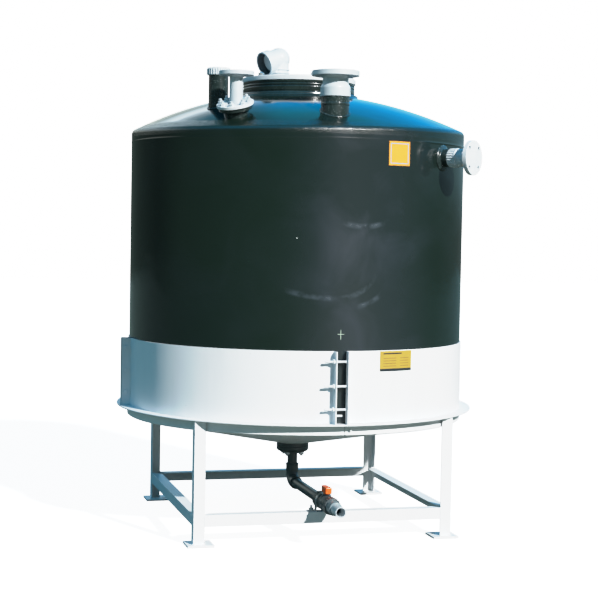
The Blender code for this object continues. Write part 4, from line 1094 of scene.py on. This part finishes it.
# %% Valve, end connector and nipple
VALVE_Y = 0.615
core = joined("valve_body_moulding", [(bar(0.0345, 0.555, 0.675), lying), (ball(0.0375), lying @ at(0, 0, VALVE_Y)),
                                      (bar(0.0200, 0.200, 0.2190), at(0, -VALVE_Y)),
                                      (bar(0.0230, 0.200, 0.2140), at(0, -VALVE_Y)),
                                      (bar(0.0365, 0.592, 0.638), lying)])
fused(core, 0.0014, 4)
carved(core, [(bar(BORE_R, 0.50, 0.74), lying)])
show(core, dark_pvc, ("valve_body",), crease=60)
for name, start in (("valve_union_nut_inner", 0.510), ("valve_union_nut_outer", 0.670)):
    end = start + 0.050
    inner = PIPE_R + GAP if start < 0.6 else BORE_R
    nut = [(0.0335, end, 0.001), (0.0372, end, 0.003), (0.0372, start, 0.003), (inner, start, 0.001),
           (inner, end, 0.001)]
    nut_parts = [(turned(rounded(nut), 96), lying)]
    nut_parts += [(mesh, lying @ m) for mesh, m in ribbed(0.0372, start + 0.005, end - 0.005, 20, 0.0028)]
    union_nut = joined(name, nut_parts)
    show(union_nut, dark_pvc)
collar = [(0.0275, 0.775, 0.002), (0.0310, 0.772, 0.002), (0.0310, 0.7203, 0.001), (BORE_R, 0.7203), (BORE_R, 0.775)]
end_connector = joined("drain_end_connector", [(turned(rounded(collar), 80), lying)])
show(end_connector, mid_pvc, ("drain_nipple",))
nipple = [(PIPE_R, 0.850, 0.0008), (PIPE_R, 0.760), (BORE_R, 0.760), (BORE_R, 0.850, 0.0008)]
nipple_pipe = joined("drain_nipple_pipe", [(turned(rounded(nipple), 80), lying)])
show(nipple_pipe, grey_pvc)

# %% Handle
grip = [(-0.0150, -0.0400, 0.005), (0.0150, -0.0400, 0.005), (0.0125, 0.0400, 0.006), (-0.0125, 0.0400, 0.006)]
handle = joined("valve_handle_moulding", [(extruded(rounded(grip, steps=5), 0.2260, 0.2545, 0.0035), at(0, -VALVE_Y)),
                                          (bar(0.0150, 0.2215, 0.2300, 48), at(0, -VALVE_Y)),
                                          (bar(0.0100, 0.2203, 0.2300, 48), at(0, -VALVE_Y))])
show(handle, orange_abs, ("valve_handle",), "handle")

# %% [markdown]
# ## The pipe clamp
# A strap of zinc-plated steel holds the valve on the front rail. It is bent from 4 mm strip over the pipe, with a
# bolt through each ear.

# %% Clamp and its bolts
ear = RAIL_TOP_Z + GAP + 0.002 - DRAIN_Z
strap_r = 0.0375
half_turn = [math.pi - math.pi * i / 24 for i in range(25)]
strap = [(-0.075, ear), (-strap_r, ear, 0.007)]
strap += [(strap_r * math.cos(t), strap_r * math.sin(t), 0) for t in half_turn]
strap += [(strap_r, ear, 0.007), (0.075, ear)]
clamp_mesh = extruded(strip(rounded(strap, closed=False, steps=5), 0.004), 0.562, 0.588, 0.0005)
clamp = joined("pipe_clamp_strap", [(clamp_mesh, lying)])
show(clamp, zinc, ("pipe_clamp",))
ear_top = RAIL_TOP_Z + GAP + 0.004
clamp_parts = []
for x in (-0.058, 0.058):
    way = at(x, -0.575, ear_top) @ turn(random.uniform(0, 60))
    clamp_parts += [(mesh, way) for mesh in bolt(0.0115, 0.0, 0.012)]
clamp_bolts = joined("pipe_clamp_bolts", clamp_parts)
show(clamp_bolts, zinc)

# %% [markdown]
# ## Floor, light and camera
# The floor is a pale studio floor that meets a near-white background. One key light from the front right gives
# the crisp shadows of the studs and the handle. The room is a soft gradient, bluer above, which fills the shade.

# %% Film curve
# Film rolls off its whites, so sunlit enamel keeps its shape. The curve takes 2.5 times white down to white.
FILM_WHITE = 2.5
view = bpy.context.scene.view_settings
view.view_transform = "Standard"
view.use_curve_mapping = True
view.curve_mapping.white_level = (FILM_WHITE, FILM_WHITE, FILM_WHITE)
film = view.curve_mapping.curves[3]
for light, shown in ((0.10, 0.25), (0.20, 0.49), (0.32, 0.73), (0.48, 0.865), (0.72, 0.925)):
    film.points.new(light, shown)
view.curve_mapping.update()

# %% Floor
floor = joined("studio_floor", [(extruded([(-30, -30), (30, -30), (30, 30), (-30, 30)], -0.02, -0.0005), UP)])
floor_paint, tree, shader = finish("studio_floor_paint", "#4A5548", 0.8)
seen = node(tree, "ShaderNodeLightPath").outputs["Is Camera Ray"]
tree.links.new(blended(tree, linear("#4A5548"), linear("#B4B6B6"), seen), shader.inputs["Base Color"])
shader.inputs["Emission Color"].default_value = linear("#FFFFFF")
tree.links.new(maths(tree, "MULTIPLY", seen, 2.1), shader.inputs["Emission Strength"])
floor.data.materials.append(floor_paint)

# %% Key light and room
KEY_AZIMUTH = math.radians(-67.0)
KEY_HEIGHT = math.radians(29.5)
key = bpy.data.objects.new("key_light", bpy.data.lights.new("key_light", "SUN"))
bpy.context.scene.collection.objects.link(key)
key.data.energy = 7.2
key.data.angle = math.radians(2.5)
key.data.color = linear("#FFFDFA")[:3]
aim = Vector((math.cos(KEY_AZIMUTH) * math.cos(KEY_HEIGHT), math.sin(KEY_AZIMUTH) * math.cos(KEY_HEIGHT),
              math.sin(KEY_HEIGHT)))
key.rotation_euler = aim.to_track_quat("Z", "Y").to_euler()

world = bpy.data.worlds.new("studio")
world.use_nodes = True
bpy.context.scene.world = world
tree = world.node_tree
tree.nodes.clear()
way = node(tree, "ShaderNodeTexCoord").outputs["Generated"]
rise = node(tree, "ShaderNodeSeparateXYZ", _0=way).outputs[2]


def sky(stops):
    """A colour ramp over the sine of the elevation."""
    ramp = node(tree, "ShaderNodeValToRGB", _0=rise)
    places = ramp.color_ramp.elements
    places[0].color = stops[0][1] + (1.0,)
    places[1].position = stops[-1][0]
    places[1].color = stops[-1][1] + (1.0,)
    for place, colour in stops[1:-1]:
        places.new(place).color = colour + (1.0,)
    return ramp.outputs[0]


def towards(azimuth, low, high):
    """From nothing to one as a direction's share along an azimuth goes from low to high."""
    along = (math.cos(math.radians(azimuth)), math.sin(math.radians(azimuth)), 0.0)
    share = node(tree, "ShaderNodeVectorMath", {"operation": "DOT_PRODUCT"}, _0=way, _1=along)
    step = node(tree, "ShaderNodeMapRange", {"interpolation_type": "SMOOTHSTEP", "From Min": low, "From Max": high},
                Value=share.outputs["Value"])
    return step.outputs[0]


front = sky(((0.0, (0.05, 0.08, 0.065)), (0.10, (0.03, 0.05, 0.045)), (0.35, (0.02, 0.05, 0.06)),
             (0.70, (0.03, 0.12, 0.20)), (1.0, (0.05, 0.20, 0.36))))
left = sky(((0.0, (0.14, 0.26, 0.20)), (0.08, (0.12, 0.26, 0.26)), (0.20, (0.12, 0.45, 0.62)),
            (0.60, (0.07, 0.42, 0.75)), (1.0, (0.05, 0.20, 0.36))))
fill = blended(tree, front, left, towards(172, 0.05, 0.70))
fill_light = node(tree, "ShaderNodeBackground", _0=fill)

# What gloss reflects: a dim horizon in front, deep blue overhead and ahead, and a bank of pale cloud that lies low
# ahead and climbs to the left.
ahead = sky(((0.0, (0.08, 0.11, 0.11)), (0.12, (0.40, 0.75, 0.90)), (0.22, (0.30, 1.05, 1.60)),
             (0.38, (0.01, 0.90, 2.15)), (0.60, (0.00, 0.82, 1.85)), (0.68, (0.02, 0.75, 1.20)),
             (0.80, (0.06, 0.50, 0.75)), (1.0, (0.03, 0.30, 0.45))))
near = sky(((0.0, (0.12, 0.20, 0.16)), (0.12, (0.08, 0.13, 0.12)), (0.40, (0.04, 0.12, 0.16)),
            (0.65, (0.05, 0.60, 1.10)), (1.0, (0.03, 1.10, 2.10))))
cloud = sky(((0.0, (0.06, 0.09, 0.08)), (0.10, (0.06, 0.09, 0.08)), (0.16, (1.20, 1.30, 1.20)), (0.29, (0.45, 0.60, 0.60)),
             (0.43, (2.40, 2.90, 3.20)), (0.50, (0.80, 1.05, 1.20)), (0.57, (0.15, 0.50, 0.70)),
             (0.66, (0.08, 0.35, 0.50)), (0.80, (0.03, 0.20, 0.28)), (1.0, (0.02, 0.10, 0.14))))
behind = blended(tree, ahead, cloud, towards(165, 0.03, 0.14))
mirrored = blended(tree, near, behind, towards(75, -0.20, 0.30))
mirror_light = node(tree, "ShaderNodeBackground", _0=mirrored)
backdrop = node(tree, "ShaderNodeBackground", {"Color": linear("#FFFFFF"), "Strength": FILM_WHITE})
rays = node(tree, "ShaderNodeLightPath")
lit = node(tree, "ShaderNodeMixShader", _0=rays.outputs["Is Glossy Ray"], _1=fill_light.outputs[0],
           _2=mirror_light.outputs[0])
mixed = node(tree, "ShaderNodeMixShader", _0=rays.outputs["Is Camera Ray"], _1=lit.outputs[0],
             _2=backdrop.outputs[0])
node(tree, "ShaderNodeOutputWorld", _0=mixed.outputs[0])

# %% Camera
CAMERA_AWAY = 7.2742
CAMERA_Z = 1.4178
FOCAL_PX = 1501.5
PHOTO_PX = 598
YAW = 0.0026
PITCH = -0.0486
ROLL = 0.0178
AROUND = 0.2553
camera = bpy.data.objects.new("camera", bpy.data.cameras.new("camera"))
bpy.context.scene.collection.objects.link(camera)
bpy.context.scene.camera = camera
camera.data.sensor_width = 36.0
camera.data.lens = FOCAL_PX * 36.0 / PHOTO_PX
forward = Vector((math.sin(YAW) * math.cos(PITCH), math.cos(YAW) * math.cos(PITCH), math.sin(PITCH)))
right = forward.cross(Vector((0, 0, 1))).normalized()
above = right.cross(forward)
across = right * math.cos(ROLL) + above * math.sin(ROLL)
upward = above * math.cos(ROLL) - right * math.sin(ROLL)
stand = Matrix.Rotation(-AROUND, 4, "Z")
basis = Matrix((across, upward, -forward)).transposed().to_4x4()
camera.matrix_world = stand @ at(0, -CAMERA_AWAY, CAMERA_Z) @ basis
